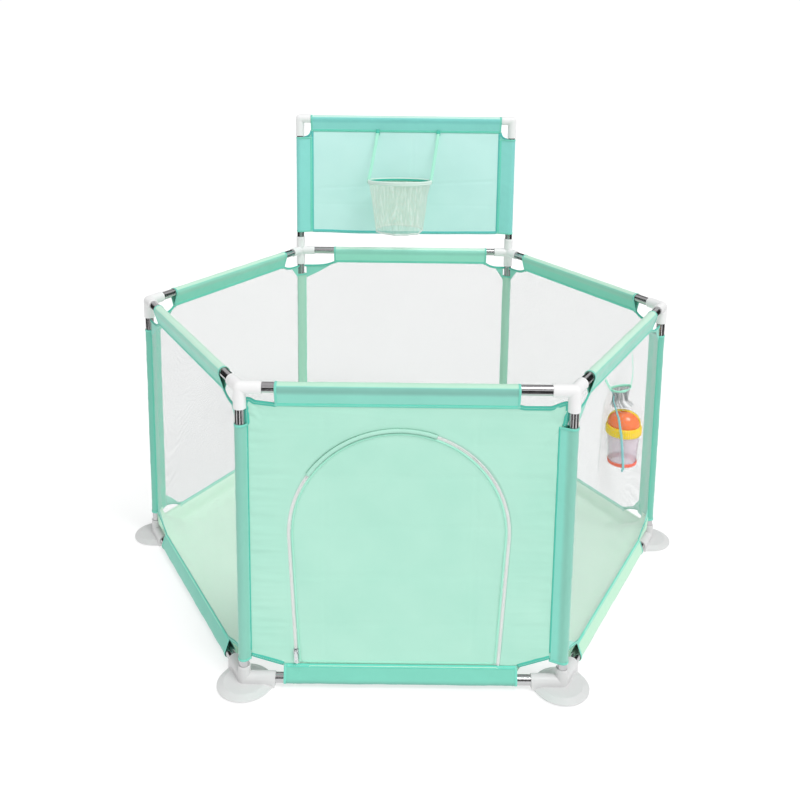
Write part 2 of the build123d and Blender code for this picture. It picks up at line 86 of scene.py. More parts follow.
DOOR_RADIUS = 213 * MM
DOOR_LEAN = math.radians(2.9)
ZIP_BOTTOM = 49 * MM
ZIP_RUN_DOWN = 18 * MM  # from the slider's rest to the lower end of its run
BOARD_BOTTOM, BOARD_TOP_SEAM = (corner.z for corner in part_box("backboard_sheet"))
BOARD_SIDE_SEAM = 278 * MM
BOARD_SLEEVE_TOP = BOARD_TOP_SEAM - 17 * MM
BOARD_SLEEVE_HALF = 282.5 * MM
POCKET_SIDE = "front_right"
POCKET_ALONG = -40 * MM
POCKET_OUT = 20 * MM


# ---- Small helpers ----
def smooth(value):
    value = max(0.0, min(1.0, value))
    return value * value * (3 - 2 * value)


def mix(a, b, share):
    return a + (b - a) * share


def rough(x, y=0.0, z=0.0):
    """Smooth noise between about -1 and 1."""
    return noise.noise(Vector((x, y, z)))


def ridge(value, width):
    return math.exp(-(value / width) ** 2)


def level(angle):
    """Level unit vector at an angle in degrees from +X."""
    return Vector((math.cos(math.radians(angle)), math.sin(math.radians(angle)), 0))


def away_from(centre, stretch_z=1):
    """A face for a tape, out from a centre, or level out from the upright axis through it at stretch_z 0."""
    return lambda point: (point - centre) * Vector((1, 1, stretch_z))


def side_point(side, along, out, z):
    """A point from its place along a side, out from the rails' plane and up."""
    angle = SIDES[side]
    return level(angle) * (APOTHEM + out) + level(angle + 90) * along + Vector((0, 0, z))


def seam_reach(side, end):
    """From a post's axis to its seam with the wall at this end (-1 left, 1 right, seen from outside)."""
    return SEAMS.get((side, end), NARROW_SEAM)


def wall_half(side, end):
    """From the middle of a wall to its seam with the post at this end."""
    return HALF_SIDE - seam_reach(side, end)


# ---- Materials ----
def connect(value, socket):
    """Links an output to the socket, or sets the socket to a plain value."""
    if isinstance(value, bpy.types.NodeSocket):
        socket.id_data.links.new(value, socket)
    else:
        socket.default_value = value


def fill(node, **sockets):
    for name, value in sockets.items():
        connect(value, node.inputs[name.replace("_", " ")])
    return node


def shader(name, **values):
    """A new material's node tree and its Principled node."""
    material = bpy.data.materials.new(name)
    material.use_nodes = True
    tree = material.node_tree
    return material, tree, fill(tree.nodes["Principled BSDF"], **values)


def add_node(tree, kind, **sockets):
    return fill(tree.nodes.new("ShaderNode" + kind), **sockets)


def calculate(tree, operation, *values):
    node = add_node(tree, "Math")
    node.operation = operation
    for socket, value in zip(node.inputs, values):
        connect(value, socket)
    return node.outputs[0]


def between(tree, share, low, high):
    """Colour mixed from low to high by share."""
    node = add_node(tree, "Mix")
    node.data_type = "RGBA"
    return fill(node, Factor=share, A=low, B=high).outputs["Result"]


def stretch(tree, value, low, high, new_low=0.0, new_high=1.0):
    node = add_node(tree, "MapRange", Value=value, From_Min=low, From_Max=high)
    return fill(node, To_Min=new_low, To_Max=new_high).outputs[0]


def bump(tree, height, strength, distance):
    return add_node(tree, "Bump", Height=height, Strength=strength, Distance=distance).outputs[0]


def speckle(tree, place, scale, detail):
    return add_node(tree, "TexNoise", Vector=place, Scale=scale, Detail=detail).outputs["Fac"]


def turned_place(tree, place, degrees, scale=(1, 1, 1)):
    node = add_node(tree, "Mapping", Vector=place, Scale=scale)
    return fill(node, Rotation=(0, 0, math.radians(degrees))).outputs[0]


def colour(text, share=1.0):
    """Linear colour of a share of an sRGB hex string's light."""
    channels = [int(text[i:i + 2], 16) / 255 for i in (0, 2, 4)]
    return (*[share * (c / 12.92 if c < 0.04045 else ((c + 0.055) / 1.055) ** 2.4) for c in channels], 1.0)


WAVE_PERIOD = 0.314  # length of one wave of a Wave texture at scale 1


def woven(name, light, dark, pitch=0.9 * MM, depth=0.35, sheen=0.25, roughness=0.72, shades=()):
    """Plain woven cloth: threads that cross in bump and in colour, and soft uneven dyeing.

    shades are colours that follow the mesh's tone instead of light and dark; on rail sleeves they are painted
    shade and a painted highlight.
    """
    material, tree, principled = shader(name, Roughness=roughness, Sheen_Weight=sheen, Sheen_Roughness=0.45,
                                        Specular_IOR_Level=0.3)
    place = add_node(tree, "TexCoord").outputs["UV"]
    threads = []
    for direction in ("X", "Y"):
        wave = add_node(tree, "TexWave", Vector=place, Scale=WAVE_PERIOD / (2 * pitch))
        wave.bands_direction = direction
        threads.append(calculate(tree, "SUBTRACT", wave.outputs["Fac"], 0.5))
    weave = calculate(tree, "MULTIPLY_ADD", calculate(tree, "MULTIPLY", *threads), 2.0, 0.5)
    dyeing, slub = speckle(tree, place, 9.0, 4.0), speckle(tree, place, 900.0, 1.0)
    share = calculate(tree, "MULTIPLY", dyeing, 0.7)
    share = calculate(tree, "MULTIPLY_ADD", weave, 0.2, share)
    share = calculate(tree, "MULTIPLY_ADD", slub, 0.12, share)
    if shades:
        tone = add_node(tree, "Attribute")
        tone.attribute_name = "tone"
        ramp = add_node(tree, "ValToRGB", Fac=tone.outputs["Fac"])
        for stop in range(1, len(shades) - 1):
            ramp.color_ramp.elements.new(stop / (len(shades) - 1))
        for element, shade in zip(ramp.color_ramp.elements, shades):
            element.color = colour(shade)
        light_thread = ramp.outputs["Color"]
        dark_thread = between(tree, 0.14, light_thread, (0, 0.05, 0.04, 1))
    else:
        light_thread, dark_thread = colour(light), colour(dark)
    fill(principled, Base_Color=between(tree, share, dark_thread, light_thread),
         Normal=bump(tree, weave, depth, 0.15 * MM))
    return material


def satin(name, tube, seam, top):
    """Shiny sleeve cloth, in its shades round the tube, out at the seam and on top of a rail: on rails painted
    shade round the tube and a painted highlight on top.
    """
    return woven(name, None, None, depth=0.4, sheen=0.3, roughness=0.5, shades=(tube, seam, top))


def netting(name, thread, pitch, hole, folds=None):
    """Knitted mesh: round holes on a staggered grid, hole being their radius as a share of the pitch.

    folds is the colour of the slanting streaks that gathered mesh shows: painted highlights along its folds.
    """
    material, tree, principled = shader(name, Roughness=0.7, Sheen_Weight=0.2, Specular_IOR_Level=0.25)
    place = add_node(tree, "TexCoord").outputs["UV"]
    cells = add_node(tree, "TexVoronoi", Vector=turned_place(tree, place, 45), Scale=1 / pitch, Randomness=0.25)
    cells.voronoi_dimensions = "2D"
    away = cells.outputs["Distance"]
    shade = between(tree, speckle(tree, place, 14.0, 3.0), colour(thread, 0.9), colour(thread))
    if folds:
        streaks = speckle(tree, turned_place(tree, place, -28, (190, 26, 1)), 1.0, 1.0)
        shade = between(tree, stretch(tree, streaks, 0.52, 0.6), shade, colour(folds))
    fill(principled, Alpha=stretch(tree, away, hole - 0.06, hole + 0.06), Base_Color=shade,
         Normal=bump(tree, away, 0.4, 0.3 * MM))
    return material


def moulded(name, base, roughness, **values):
    """Moulded plastic with a faint grain and slightly uneven gloss."""
    material, tree, principled = shader(name, Base_Color=colour(base), **values)
    place = add_node(tree, "TexCoord").outputs["Object"]
    coarse = speckle(tree, place, 60.0, 3.0)
    fill(principled, Roughness=stretch(tree, coarse, 0.3, 0.7, roughness - 0.06, roughness + 0.08),
         Base_Color=between(tree, coarse, colour(base, 0.97), colour(base)),
         Normal=bump(tree, speckle(tree, place, 1400.0, 2.0), 0.04, 0.1 * MM))
    return material


def metal(name, base, roughness, scratches):
    """Bright drawn metal with fine scratches and patchy polish."""
    material, tree, principled = shader(name, Base_Color=base, Metallic=1.0)
    place = add_node(tree, "TexCoord").outputs["Object"]
    polish = stretch(tree, speckle(tree, place, 25.0, 2.0), 0.3, 0.7, roughness - 0.06, roughness + 0.06)
    fill(principled, Roughness=polish, Normal=bump(tree, speckle(tree, place, scratches, 5.0), 0.08, 0.05 * MM))
    return material


mint = woven("mint_cloth", "BCE9D7", "A3DCC8", sheen=0.12)
# A lighter copy of the mint cloth for the board, painted light against the shade at the back of the pen.
lit_board_mint = woven("board_cloth", "D1F6F1", "BFECE7", sheen=0.12)
floor_cloth = woven("floor_cloth", "D2F2DE", "C0E8CE", roughness=0.6)
# The sleeve cloths are lit and shaded copies of one cloth, painted light: each rail and post gets a lighter or
# darker copy after how much light falls on it there.
teal = satin("sleeve_cloth", "84C2B4", "93E0CE", "BEEAD2")
shaded_low_teal = satin("shaded_low_sleeve_cloth", "69AFA1", "7FD3BE", "A9E6D0")
lit_low_teal = satin("lit_low_sleeve_cloth", "B9DFC9", "BFEBCF", "CFF2DA")
side_teal = satin("side_sleeve_cloth", "9CDCC8", "8AE0CA", "CBF1DC")
lit_back_teal = satin("lit_back_sleeve_cloth", "A0E4D2", "AAF2DE", "D0F7E4")
lit_board_teal = satin("lit_board_sleeve_cloth", "86D8D2", "94E4DC", "C8F2E6")
post_teal = satin("post_cloth", "8ACBB9", "8FE2D0", "8FE2D0")
shaded_side_post_teal = satin("shaded_side_post_cloth", "7CCAB6", "4FCFB2", "4FCFB2")
lit_back_post_teal = satin("lit_back_post_cloth", "B5DFCC", "A6E2CC", "A6E2CC")
hem_teal = woven("hem_cloth", "86DCC9", "70CEBA", pitch=0.6 * MM)
seam_teal = woven("seam_cloth", "78E0CA", "5FD2BA", pitch=0.6 * MM)
board_dark_teal = woven("board_binding_cloth", "6CCFC8", "52BBB5", pitch=0.6 * MM)
dark_teal = woven("binding_cloth", "5CCBB6", "41B5A0", pitch=0.6 * MM)
rim_cloth = woven("hoop_rim_tape", "E6F3EC", "CDE3DA", pitch=0.6 * MM)
ribbon_cloth = woven("ribbon_cloth", "B4EFD9", "95DFC5", pitch=0.5 * MM)
pocket_binding = woven("pocket_binding_cloth", "A2DCDD", "7FC6CC", pitch=0.5 * MM)
zip_cloth = woven("zip_tape_cloth", "E4EEE9", "CFDDD7", pitch=0.5 * MM)
thread_mint = woven("thread_mint", "C6F0E2", "A9E0CE", pitch=0.3 * MM)
wall_mesh = netting("wall_mesh", "F1F1F3", 1.6 * MM, 0.49)
# The back walls' netting: the same white mesh in a grey copy, painted shade.
shaded_back_mesh = netting("shaded_back_wall_mesh", "A4A4A6", 1.6 * MM, 0.49)
net_mesh = netting("hoop_net_cloth", "DDEBDD", 1.6 * MM, 0.41, folds="F6FBF4")
bag_mesh = netting("pocket_mesh", "EDEFF1", 2.6 * MM, 0.6)
# The gathered mouth of the pocket in a dark copy of its netting: painted shade between the folds, with painted
# highlights along them.
shaded_gathered_mesh = netting("pocket_mesh_gathered_shaded", "8C9092", 1.6 * MM, 0.3, folds="EEEFF0")
zip_teeth = moulded("zip_teeth_nylon", "F1F4F2", 0.4)
white_plastic = moulded("white_plastic", "EFEFEF", 0.38)
foot_plastic = moulded("foot_plastic", "D8D8D8", 0.42)
clear_pvc = moulded("clear_pvc", "E9EFEF", 0.3, Alpha=0.75)
yellow_plastic = moulded("yellow_plastic", "FFD800", 0.28, Coat_Weight=0.3)
orange_plastic = moulded("orange_plastic", "FF7A36", 0.28, Coat_Weight=0.3)
coral_plastic = moulded("coral_plastic", "FF6A4C", 0.3, Coat_Weight=0.3)
clear_plastic = moulded("clear_cup_plastic", "F3E3F0", 0.18, Alpha=0.35, Coat_Weight=0.4)
zip_metal = metal("zip_metal", (0.72, 0.73, 0.75, 1), 0.25, 2500.0)
steel = metal("drawn_steel", (0.55, 0.54, 0.55, 1), 0.17, 900.0)
# Which lit or shaded copy of the sleeve cloth each rail and post wears: painted light.
RAIL_CLOTH = {("top", "front"): teal, ("top", "back"): lit_back_teal, ("bottom", "front_right"): lit_low_teal}
POST_CLOTH = {"left": shaded_side_post_teal, "right": shaded_side_post_teal, "back_left": lit_back_post_teal, "back_right": lit_back_post_teal}


# ---- Building meshes ----
BEAD_QUADS = ((0, 1, 5, 4), (1, 2, 6, 5), (2, 3, 7, 6), (3, 0, 4, 7), (0, 3, 2, 1), (4, 5, 6, 7))
HALF_TAPE = ((-0.5, 0.0), (-0.44, 0.42), (0.0, 0.5), (0.44, 0.42))
TAPE_PROFILE = HALF_TAPE + tuple((-x, -y) for x, y in HALF_TAPE)


class Pieces:
    """Collects grids of points into one mesh, with places on the cloth in metres as its UVs."""

    def __init__(self):
        self.points, self.faces, self.uvs, self.slots, self.tones = [], [], [], [], []

    def grid(self, rows, places, slot=0, closed=False, flip=False, tones=None):
        """Joins rows of points in quads; a closed grid goes round, with one more place than points in a row."""
        start, width = len(self.points), len(rows[0])
        for j, row in enumerate(rows):
            self.points.extend(row)
            self.tones.extend(tones[j] if tones else [0.5] * width)
        for j in range(len(rows) - 1):
            for i in range(width if closed else width - 1):
                k = (i + 1) % width
                corners = [(j, i), (j, k), (j + 1, k), (j + 1, i)]
                if flip:
                    corners.reverse()
                self.faces.append([start + row * width + column for row, column in corners])
                self.uvs.extend(places[row][column or (0 if k else width)] for row, column in corners)
                self.slots.append(slot)

    def bead(self, centre, axis, across, out, half_length, half_width, height, slot=0):
        """One raised stitch or tooth: a low faceted bead."""
        start = len(self.points)
        for end in (-1, 1):
            for side, lift in ((-1, 0.0), (-0.6, 0.8), (0.6, 0.8), (1, 0.0)):
                reach = half_length * (1.0 if lift == 0.0 else 0.75)
                point = centre + axis * end * reach + across * side * half_width + out * lift * height
                self.points.append(point)
        self.tones.extend([0.5] * 8)
        for quad in BEAD_QUADS:
            self.faces.append([start + corner for corner in quad])
            self.uvs.extend([(0.0, 0.0), (MM, 0.0), (MM, MM), (0.0, MM)])
            self.slots.append(slot)

    def piece(self, name, *materials):
        mesh = bpy.data.meshes.new(name)
        mesh.from_pydata(self.points, [], self.faces)
        layer = mesh.uv_layers.new(name="cloth")
        layer.data.foreach_set("uv", [value for place in self.uvs for value in place])
        for material in materials:
            mesh.materials.append(material)
        mesh.polygons.foreach_set("material_index", self.slots)
        mesh.attributes.new("tone", "FLOAT", "POINT").data.foreach_set("value", self.tones)
        mesh.polygons.foreach_set("use_smooth", [True] * len(self.faces))
        welded = bmesh.new()
        welded.from_mesh(mesh)
        bmesh.ops.remove_doubles(welded, verts=welded.verts, dist=0.01 * MM)
        welded.to_mesh(mesh)
        welded.free()
        mesh.update()
        return add_object(name, mesh)


def add_object(name, data):
    made = bpy.data.objects.new(name, data)
    bpy.context.scene.collection.objects.link(made)
    return made


def lattice(down, across, at):
    """Rows of points and rows of their places, from at(u, v) at shares u across and v down."""
    cells = [[at(i / across, j / down) for i in range(across + 1)] for j in range(down + 1)]
    return [[point for point, _ in row] for row in cells], [[place for _, place in row] for row in cells]


def thicken(piece, thickness=CLOTH, offset=0.0):
    modifier = piece.modifiers.new("thickness", "SOLIDIFY")
    modifier.thickness = thickness
    modifier.offset = offset
    return piece


def lengths(path):
    """Distance along a path to each of its points."""
    total, found = 0.0, [0.0]
    for start, end in zip(path, path[1:]):
        total += (end - start).length
        found.append(total)
    return found


def spaced(path, step):
    """Points evenly spaced along a path, about step apart."""
    marks = lengths(path)
    count = max(1, round(marks[-1] / step))
    found, segment = [], 0
    for i in range(count + 1):
        mark = marks[-1] * i / count
        while segment < len(path) - 2 and marks[segment + 1] < mark:
            segment += 1
        span = max(marks[segment + 1] - marks[segment], 1e-9)
        found.append(path[segment].lerp(path[segment + 1], (mark - marks[segment]) / span))
    return found


def directions(path, face):
    """For each point of a path: its direction, the direction across it, and the one out of its face."""
    found = []
    for i in range(len(path)):
        along = (path[min(i + 1, len(path) - 1)] - path[max(i - 1, 0)]).normalized()
        outward = face(path[i]) if callable(face) else face
        across = outward.cross(along).normalized()
        found.append((along, across, along.cross(across).normalized()))
    return found


def add_tape(made, path, face, width, thickness, slot=0, wave=0.0):
    """A tape with rounded edges and closed ends, centred on a path, its flat side towards face."""
    rows, marks = [], lengths(path)
    for i, (_, across, out) in enumerate(directions(path, face)):
        lift = wave * rough(marks[i] / 0.011, path[i].z * 40)
        taper = 0.86 if i in (0, len(path) - 1) else 1.0
        wide, thick = width * taper, thickness * taper * (1 + 0.1 * rough(marks[i] / 0.007, 5.0))
        rows.append([path[i] + across * x * wide + out * (y * thick + lift) for x, y in TAPE_PROFILE])
    places = [[(mark, width * k / 4) for k in range(len(TAPE_PROFILE) + 1)] for mark in marks]
    made.grid(rows, places, slot, closed=True)
    for end in (0, -1):
        centre = sum(rows[end], Vector()) / len(TAPE_PROFILE)
        cap = [rows[end], [centre.copy() for _ in TAPE_PROFILE]]
        made.grid(cap, [places[end]] * 2, slot, closed=True, flip=end == 0)


def add_stitches(made, path, face, slot):
    """A row of lock stitches that stands a little proud along a path."""
    points = spaced(path, 4.2 * MM)
    for point, (along, across, out) in zip(points, directions(points, face)):
        made.bead(point + out * 0.35 * MM, along, across, out, 1.4 * MM, 0.35 * MM, 0.4 * MM, slot)


def dress(piece, body, slot, *nodes):
    """Rides the piece on its body and hides the CAD nodes that it stands for; slot, its finish, is not used."""
    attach(piece, body)
    if nodes:
        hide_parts(*nodes)
    return piece


# ---- Sleeves ----
SEAM_GAP = 0.6 * MM  # between the two layers where they are sewn together
END_BAND = 6 * MM
PULL_LOW, PULL_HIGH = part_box("zip_pull")
PULL_X = (PULL_LOW.x + PULL_HIGH.x) / 2
PULL_BACK = (PULL_LOW.y + PULL_HIGH.y) / 2 + 2 * MM
PULL_END = PULL_LOW.z - ZIP_RUN_DOWN


def teardrop(radius, reach, count):
    """A loop of cloth over a tube, from seam to seam: (out, towards the seam, distance round)."""
    half = math.acos(radius / reach)
    touch = (radius * math.sin(half), radius * math.cos(half))
    straight = math.sqrt(reach ** 2 - radius ** 2)
    arc = (2 * math.pi - 2 * half) * radius
    total = 2 * straight + arc
    found = []
    for i in range(count + 1):
        mark = total * i / count
        if straight <= mark < straight + arc:
            turn = half + (mark - straight) / radius
            place = (radius * math.sin(turn), radius * math.cos(turn))
        else:
            layer = 1 if mark < straight else -1
            share = min(mark, total - mark) / straight
            place = (layer * mix(SEAM_GAP, touch[0], share), mix(reach, touch[1], share))
        found.append((*place, mark))
    return found


def clear_of_pull(point):
    """The point, pressed back where the zip's pull comes to hang over the sleeve."""
    beside = smooth((8 * MM - abs(point.x - PULL_X)) / (3 * MM))
    above = smooth((point.z - PULL_END + 4 * MM) / (3 * MM)) if point.z < PULL_LOW.z else 0.0
    return point + Vector((0, max(0.0, PULL_BACK - point.y) * beside * above, 0))


def sleeve_push(along, end, out, towards, seed):
    """How far folds and the flare at its ends push a sleeve off its tube."""
    slack = smooth(abs(out) / (4 * MM)) * smooth(end / (8 * MM) + 0.25)
    fold = 0.75 * rough(along / 0.038 + towards / 0.03, out / 0.02, seed)
    fold += 0.45 * rough(along / 0.013 - towards / 0.02, out / 0.012, seed + 7)
    flare = 0.5 * ridge(end, 5 * MM)
    return (max(fold, -0.4) * slack + flare * (1 if end < END_BAND else 0.6)) * MM


def sleeve_painted_light_tone(towards, seam_axis):
    """Place among the cloth's shades: 0 painted shade round the tube and under a bottom sleeve, 0.5 at the
    seam, 1 a painted highlight on top of a sleeve that hangs.
    """
    if seam_axis.z >= 0:
        return 0.5 * smooth((towards + 9 * MM) / (13 * MM))
    if towards < 0:
        return smooth((-towards / SLEEVE_RADIUS - 0.35) / 0.3)
    return 0.5 * smooth((towards - 5 * MM) / (9 * MM))


def sleeve(name, start, axis, length, seam_axis, reach, body, node, seed, cloth):
    """A sleeve that lies over a tube and is sewn together at reach from its middle."""
    out_axis = seam_axis.cross(axis)
    profile = teardrop(SLEEVE_RADIUS, reach, 44)
    girth = profile[-1][2]
    stations = max(40, round(length / (3.6 * MM)))
    rows, places = [], []
    for j in range(stations + 1):
        along = length * j / stations
        row = []
        for out, towards, _ in profile:
            pushed = Vector((out, towards, 0))
            if abs(out) > 0.001 * MM:  # the line opposite the seam stays on the tube
                push = sleeve_push(along, min(along, length - along), out, towards, seed)
                pushed += Vector((out, towards * 0.25, 0)).normalized() * push
            droop = 0.9 * MM * rough(along / 0.09, seed) * smooth(towards / reach)
            point = start + axis * along + out_axis * pushed.x + seam_axis * (pushed.y + droop)
            row.append(clear_of_pull(point))
        rows.append(row)
        places.append([(along, mark - girth / 2) for _, _, mark in profile])
    made = Pieces()
    made.grid(rows, places, tones=[[sleeve_painted_light_tone(towards, seam_axis) for _, towards, _ in profile]] * len(rows))
    piece = thicken(made.piece(name, cloth), CLOTH, 1.0)
    dress(piece, body, "sleeve_fabric", node)
    trim = Pieces()
    seam = [start + axis * (length * j / 60) + seam_axis * (reach - 1.2 * MM) for j in range(61)]
    slope = math.asin(SLEEVE_RADIUS / reach)
    for face in (out_axis, -out_axis):
        normal = face * math.cos(slope) + seam_axis * math.sin(slope)
        up_slope = face * math.sin(slope) - seam_axis * math.cos(slope)
        band = [point + up_slope * 2.2 * MM + normal * 1.1 * MM for point in seam]
        add_tape(trim, band, normal, 7 * MM, 0.9 * MM, 2, 0.1 * MM)
        add_stitches(trim, [point + normal * 0.3 * MM for point in band], normal, 0)
    for along in (2.5 * MM, length - 2.5 * MM):
        centre = start + axis * along
        ring = [centre + out_axis * out * 1.07 + seam_axis * towards * 1.02 for out, towards, _ in profile]
        add_tape(trim, ring, away_from(centre), 5 * MM, 0.9 * MM, 1)
    stitching = dress(trim.piece(name + "_stitching", thread_mint, hem_teal, seam_teal), body, "sleeve_fabric")


for number, (side, angle) in enumerate(SIDES.items()):
    for rail, height, seam_z, shifts, cloth in (("top", TOP_Z, TOP_SEAM_Z, TOP_SHIFT, side_teal),
                                                ("bottom", BOTTOM_Z, BOTTOM_SEAM_Z, BOTTOM_SHIFT, shaded_low_teal)):
        first = side_point(side, shifts.get(side, 0.0) - SLEEVE_LENGTH / 2, 0, height)
        to_seam = DOWN if seam_z < height else UP
        sleeve(f"{rail}_sleeve_{side}", first, level(angle + 90), SLEEVE_LENGTH, to_seam, abs(height - seam_z),
               "pen", f"{rail}_sleeves", number * 3.7 + height, RAIL_CLOTH.get((rail, side), cloth))


def round_post(low, high):
    """An arc of cloth round a post, between two angles."""
    return [level(mix(low, high, i / 12)) * SLEEVE_RADIUS for i in range(13)]


def post_outline(corner, count):
    """Cloth round a post, drawn out to its two seams: offsets from the axis, and the distance round."""
    angle = CORNERS[corner]
    reaches = []
    for step, end in ((30, -1), (-30, 1)):
        side = next(name for name, side_angle in SIDES.items() if (side_angle - angle - step) % 360 == 0)
        reaches.append(seam_reach(side, end))
    first, second = (math.degrees(math.acos(SLEEVE_RADIUS / reach)) for reach in reaches)
    outline = [level(angle + 120) * reaches[0], *round_post(angle + 120 - first, angle - 120 + second),
               level(angle - 120) * reaches[1], *round_post(angle + 240 - second, angle + 120 + first),
               level(angle + 120) * reaches[0]]
    girth = lengths(outline)[-1]
    return spaced(outline, girth / count)[:-1], girth


def post_sleeve(number, corner):
    offsets, girth = post_outline(corner, 56)
    axis_point = middle(f"post_{corner}") * Vector((1, 1, 0))
    bottom, top = POST_SLEEVE_BOTTOM + POST_SLEEVE_LIFT.get(corner, 0.0), POST_SLEEVE_TOP
    stations = 150
    rows, places = [], []
    for j in range(stations + 1):
        z = mix(bottom, top, j / stations)
        end = min(z - bottom, top - z)
        row = []
        for i, offset in enumerate(offsets):
            fold = 0.6 * rough(z / 0.03 + i / 9, number * 5.1) + 0.45 * rough(z / 0.009, i / 6, number)
            push = (max(fold, -0.35) * smooth(end / (10 * MM) + 0.2) + 0.4 * ridge(end, 4 * MM)) * MM
            row.append(axis_point + UP * z + offset + offset.normalized() * push)
        rows.append(row)
        places.append([(girth * i / len(offsets), z) for i in range(len(offsets) + 1)])
    tone = [smooth((offset.length - TUBE_RADIUS) / (6 * MM)) * 0.5 for offset in offsets]
    made = Pieces()
    made.grid(rows, places, closed=True, tones=[tone] * len(rows))
    piece = thicken(made.piece(f"post_sleeve_{corner}", POST_CLOTH.get(corner, post_teal)), CLOTH, 1.0)
    dress(piece, "pen", "sleeve_fabric", "post_sleeves")
    trim = Pieces()
    for z in (bottom + 2.5 * MM, top - 2.5 * MM):
        ring = [axis_point + UP * z + offset * 1.05 for offset in offsets + offsets[:1]]
        add_tape(trim, ring, away_from(axis_point, 0), 5 * MM, 0.9 * MM)
    hems = dress(trim.piece(f"post_sleeve_{corner}_hems", hem_teal), "pen", "sleeve_fabric")


for number, corner in enumerate(CORNERS):
    post_sleeve(number, corner)


# ---- Mesh walls ----
def past_sleeve(side, along, shifts):
    """From the end of a rail's sleeve, 0, to the post's seam, 1."""
    end = 1 if along > 0 else -1
    sleeve_end = SLEEVE_LENGTH / 2 + end * shifts.get(side, 0.0)
    return min(1.0, max(0.0, (abs(along) - sleeve_end) / (wall_half(side, end) - sleeve_end)))


def wall_edges(side, along):
    """Bottom and top of a mesh wall at a place along it."""
    low = mix(BOTTOM_SEAM_Z, WALL_POST_BOTTOM, 1 - (1 - past_sleeve(side, along, BOTTOM_SHIFT)) ** 1.6)
    return low, mix(TOP_SEAM_Z, WALL_POST_TOP, 1 - (1 - past_sleeve(side, along, TOP_SHIFT)) ** 3.5)


def pocket_dent(side, along, z):
    """How far the hanging pocket pushes its wall in."""
    if side != POCKET_SIDE:
        return 0.0
    across = ridge(along - POCKET_ALONG, 62 * MM)
    upright = smooth((z - 237 * MM) / (130 * MM)) * smooth((583 * MM - z) / (100 * MM))
    return -27 * MM * across * upright


def wall_out(side, along, z, seed):
    """How far a mesh wall stands out at a place."""
    low, top = wall_edges(side, along)
    to_post = wall_half(side, 1 if along > 0 else -1) - abs(along)
    fade = smooth(min(z - low, top - z) / (60 * MM)) * smooth(to_post / (60 * MM))
    wide = 3.2 * rough(along / 0.21, z / 0.26, seed) + 1.0 * rough(along / 0.07, z / 0.1, seed + 4)
    near_post = ridge(to_post, 70 * MM) * 0.5 * rough(z / 0.02, along / 0.2, seed)
    return (wide * fade + near_post * smooth(to_post / (8 * MM))) * MM + pocket_dent(side, along, z)


def mesh_wall(side, seed):
    left, right = -wall_half(side, -1), wall_half(side, 1)

    def at(u, v):
        along = mix(left, right, u)
        z = mix(*wall_edges(side, along), v)
        return side_point(side, along, wall_out(side, along, z, seed), z), (along, z)

    made = Pieces()
    made.grid(*lattice(110, 120, at))
    cloth = shaded_back_mesh if side.startswith("back") else wall_mesh
    piece = dress(made.piece(f"mesh_wall_{side}", cloth), "pen", "mesh", f"wall_{side}")
    trims = [corner_trim(side, end, place_name) for end in (-1, 1) for place_name in ("top", "bottom")]


def corner_trim(side, end, place_name):
    """The cloth gusset and the bound edge across one corner of a mesh wall."""
    half = wall_half(side, end)
    if place_name == "top":
        pick, shifts, depth, inset = 1, TOP_SHIFT, GUSSET_FOOT - WALL_POST_TOP, DOWN * 1.6 * MM
    else:
        pick, shifts, depth, inset = 0, BOTTOM_SHIFT, GUSSET_RISE, UP * 1.6 * MM
    start = SLEEVE_LENGTH / 2 + end * shifts.get(side, 0.0)
    begin = start if (side, end) in LONG_GUSSETS else mix(start, half, 0.5)
    edge = [side_point(side, end * along, 0, wall_edges(side, end * along)[pick])
            for along in [mix(start - 6 * MM, half + 6 * MM, i / 24) for i in range(25)]]
    made = Pieces()
    face = level(SIDES[side])
    add_tape(made, edge, face, BINDING, 2.0 * MM, 1, 0.4 * MM)
    for outward in (face, -face):
        add_stitches(made, [point + inset + outward * 0.9 * MM for point in edge], outward, 2)

    def at(u, v):
        along = mix(begin, half, u)
        z = wall_edges(side, end * along)[pick] + depth * u ** 1.15 * v
        return side_point(side, end * along, 0.5 * MM * rough(along / 0.02, z / 0.02), z), (end * along, z)

    made.grid(*lattice(8, 24, at))
    name = f"{place_name}_gusset_{side}_{'right' if end > 0 else 'left'}"
    piece = made.piece(name, teal, dark_teal, thread_mint)
    return dress(thicken(piece, 0.9 * MM), "pen", "sleeve_fabric")


for number, side in enumerate(SIDES):
    if side != "front":
        mesh_wall(side, 11.3 * number)

# ---- Front panel ----
CREASE_HEIGHTS = (135 * MM, 239 * MM, 343 * MM, 447 * MM)  # where the panel was folded in its box
CREASE_PLACES = (-155 * MM, 135 * MM)
CRUMPLED = (294 * MM, 587 * MM)  # x and z of the crumpled cloth under the top corners
SHOULDER_Z = 387 * MM  # the panel's sides are plain up to here


def arch(offset, bottom, step=4 * MM):
    """Points along the doorway's arch from its left foot to its right one, offset outward from the zip."""
    radius = DOOR_RADIUS + offset
    spring_x, spring_z = radius * math.cos(DOOR_LEAN), DOOR_ARCH_Z - radius * math.sin(DOOR_LEAN)
    foot_x = spring_x - (spring_z - bottom) * math.tan(DOOR_LEAN)
    middle_of_arch = Vector((DOOR_X, 0, DOOR_ARCH_Z))
    path = [Vector((DOOR_X - foot_x, 0, bottom))]
    for i in range(97):
        angle = math.pi + DOOR_LEAN - (math.pi + 2 * DOOR_LEAN) * i / 96
        path.append(middle_of_arch + Vector((radius * math.cos(angle), 0, radius * math.sin(angle))))
    path.append(Vector((DOOR_X + foot_x, 0, bottom)))
    return spaced(path, step)


